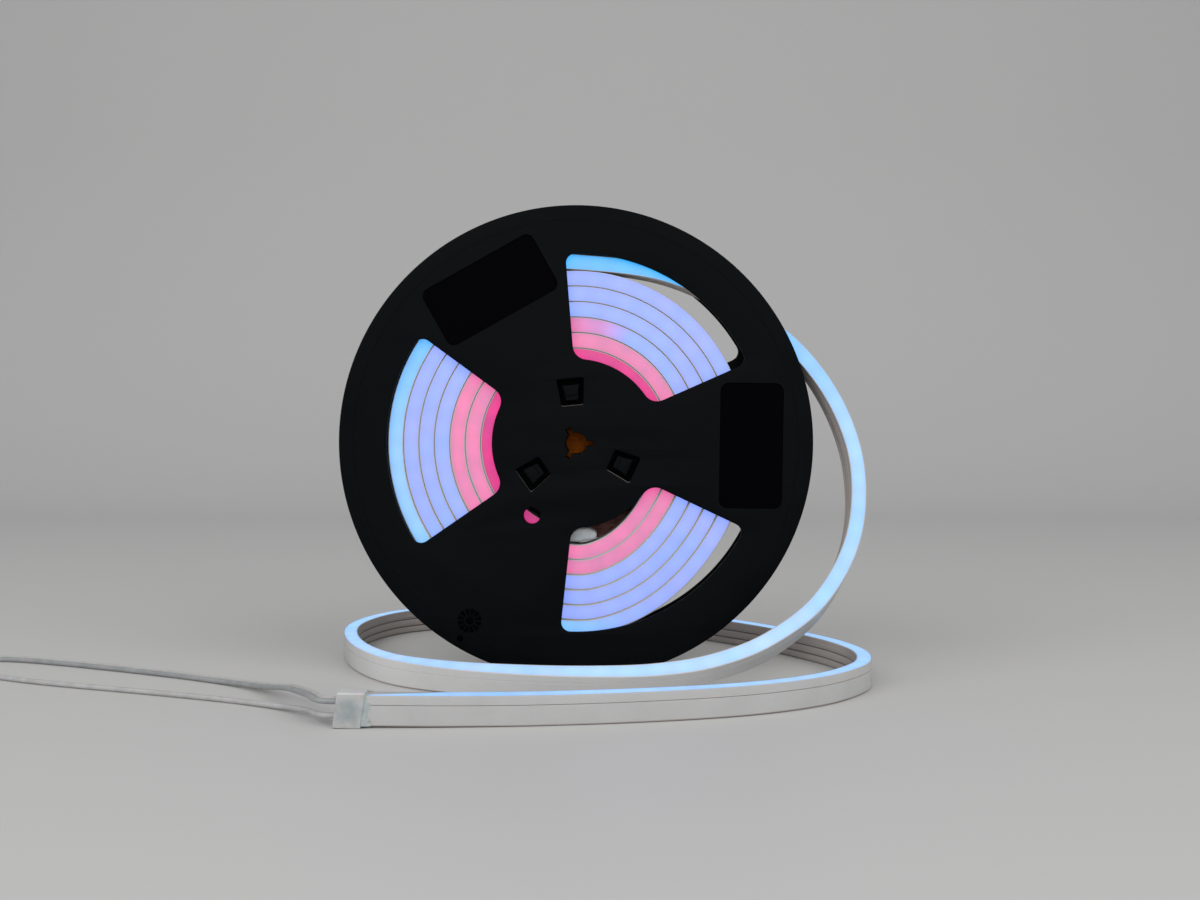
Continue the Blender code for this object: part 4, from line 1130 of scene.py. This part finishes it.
def dress_nodes(looks):
    """CAD nodes that keep their own shape and get a full material."""
    for look, slot, names in [
        ("brown", "brown_disc", ["back_disc"]), ("board", "led_board", ["wound_led_board", "free_led_board"]),
        ("nylon", "connector_nylon", ["connector_housing"]),
        ("tin", "tinned_metal", ["connector_pin_1", "connector_pin_2", "connector_pin_3"]),
    ]:
        for name in names:
            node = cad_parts[name]
            node.data.materials.clear()
            node.data.materials.append(looks[look])


def make_stage():
    """Pale floor that curves up into a pale backdrop."""
    profile = [(STAGE_FRONT, 0.0), (STAGE_BEND_Y, 0.0)]
    for i in range(1, STAGE_BEND_SEGMENTS + 1):
        turn = math.radians(90 * i / STAGE_BEND_SEGMENTS)
        profile.append((STAGE_BEND_Y + STAGE_BEND_RADIUS * math.sin(turn),
                        STAGE_BEND_RADIUS - STAGE_BEND_RADIUS * math.cos(turn)))
    profile.append((STAGE_BEND_Y + STAGE_BEND_RADIUS, STAGE_TOP))
    mesh = bpy.data.meshes.new("studio")
    vertices = [(x, y, z) for y, z in profile for x in (-STAGE_HALF_WIDTH, STAGE_HALF_WIDTH)]
    faces = [(2 * i, 2 * i + 1, 2 * i + 3, 2 * i + 2) for i in range(len(profile) - 1)]
    mesh.from_pydata(vertices, [], faces)
    mesh.shade_smooth()
    studio = link(bpy.data.objects.new("studio", mesh))
    studio.data.materials.append(studio_paper())


def make_light():
    world = bpy.data.worlds.new("room_light")
    bpy.context.scene.world = world
    world.use_nodes = True
    background = world.node_tree.nodes["Background"]
    background.inputs["Color"].default_value = WORLD_COLOUR
    background.inputs["Strength"].default_value = WORLD_STRENGTH
    for name, place, size, energy in SOFTBOXES:
        data = bpy.data.lights.new(name, "AREA")
        data.size = size
        data.energy = energy
        lamp = link(bpy.data.objects.new(name, data))
        lamp.visible_camera = False
        lamp.location = place
        lamp.rotation_euler = (LAMP_TARGET - lamp.location).to_track_quat("-Z", "Y").to_euler()


make_camera()
ROUTE = free_route()
WOUND_LENGTH = length_of([place for place, across, up in wound_frames()])
FREE_LENGTH = length_of([place for place, facing in ROUTE])
LOOKS = {
    "black": black_plastic("black_plastic", (0.0014, 0.0022, 0.0029), 0.5, 0.05),
    "black_recess": black_plastic("black_recess", (0.0005, 0.0005, 0.0010), 0.55, 0.015),
    # Painted highlight: a lighter brownish black for the upward faces at the snap windows' edges
    "black_painted_highlight": black_plastic("black_painted_highlight", (0.125, 0.108, 0.098), 0.4, 0.3),
    # The back flange carries painted glow spill from the pink strip
    "black_back": black_plastic("black_back", (0.0014, 0.0022, 0.0029), 0.5, 0.05, GLOW_SPILL_PLACE),
    "white": silicone("white_silicone", False),
    "glow": silicone("lit_silicone", True, WOUND_LENGTH + FREE_LENGTH),
    "lead_wire_rear": wire_jacket("white_jacket", (0.44, 0.44, 0.43), (0.50, 0.50, 0.49)),
    "lead_wire_front": wire_jacket("grey_jacket", (0.26, 0.272, 0.28), (0.33, 0.338, 0.345)),
    "lead_wire_lower": wire_jacket("clear_jacket", (0.40, 0.40, 0.40), (0.47, 0.47, 0.47)),
    "frosted": frosted(cap_centre(ROUTE) + Vector((CAP_SHIFT, 0, 0))),
    "glue": glue(),
    "plug": plug(),
    "brown": brown_board(),
    "nylon": nylon(),
    "tin": tin(),
    "board": board_film(),
}
OUTER_CAP = make_outer_cap(LOOKS, ROUTE)
make_cords(LOOKS, ROUTE, WOUND_LENGTH)
strip_layers("wound", LOOKS, "lit_violet", wound_frames())
make_front_flange(LOOKS)
make_back_flange(LOOKS)
make_inner_cap(LOOKS)
dress_nodes(LOOKS)
make_stage()
make_light()
bpy.context.scene.view_settings.view_transform = "Standard"
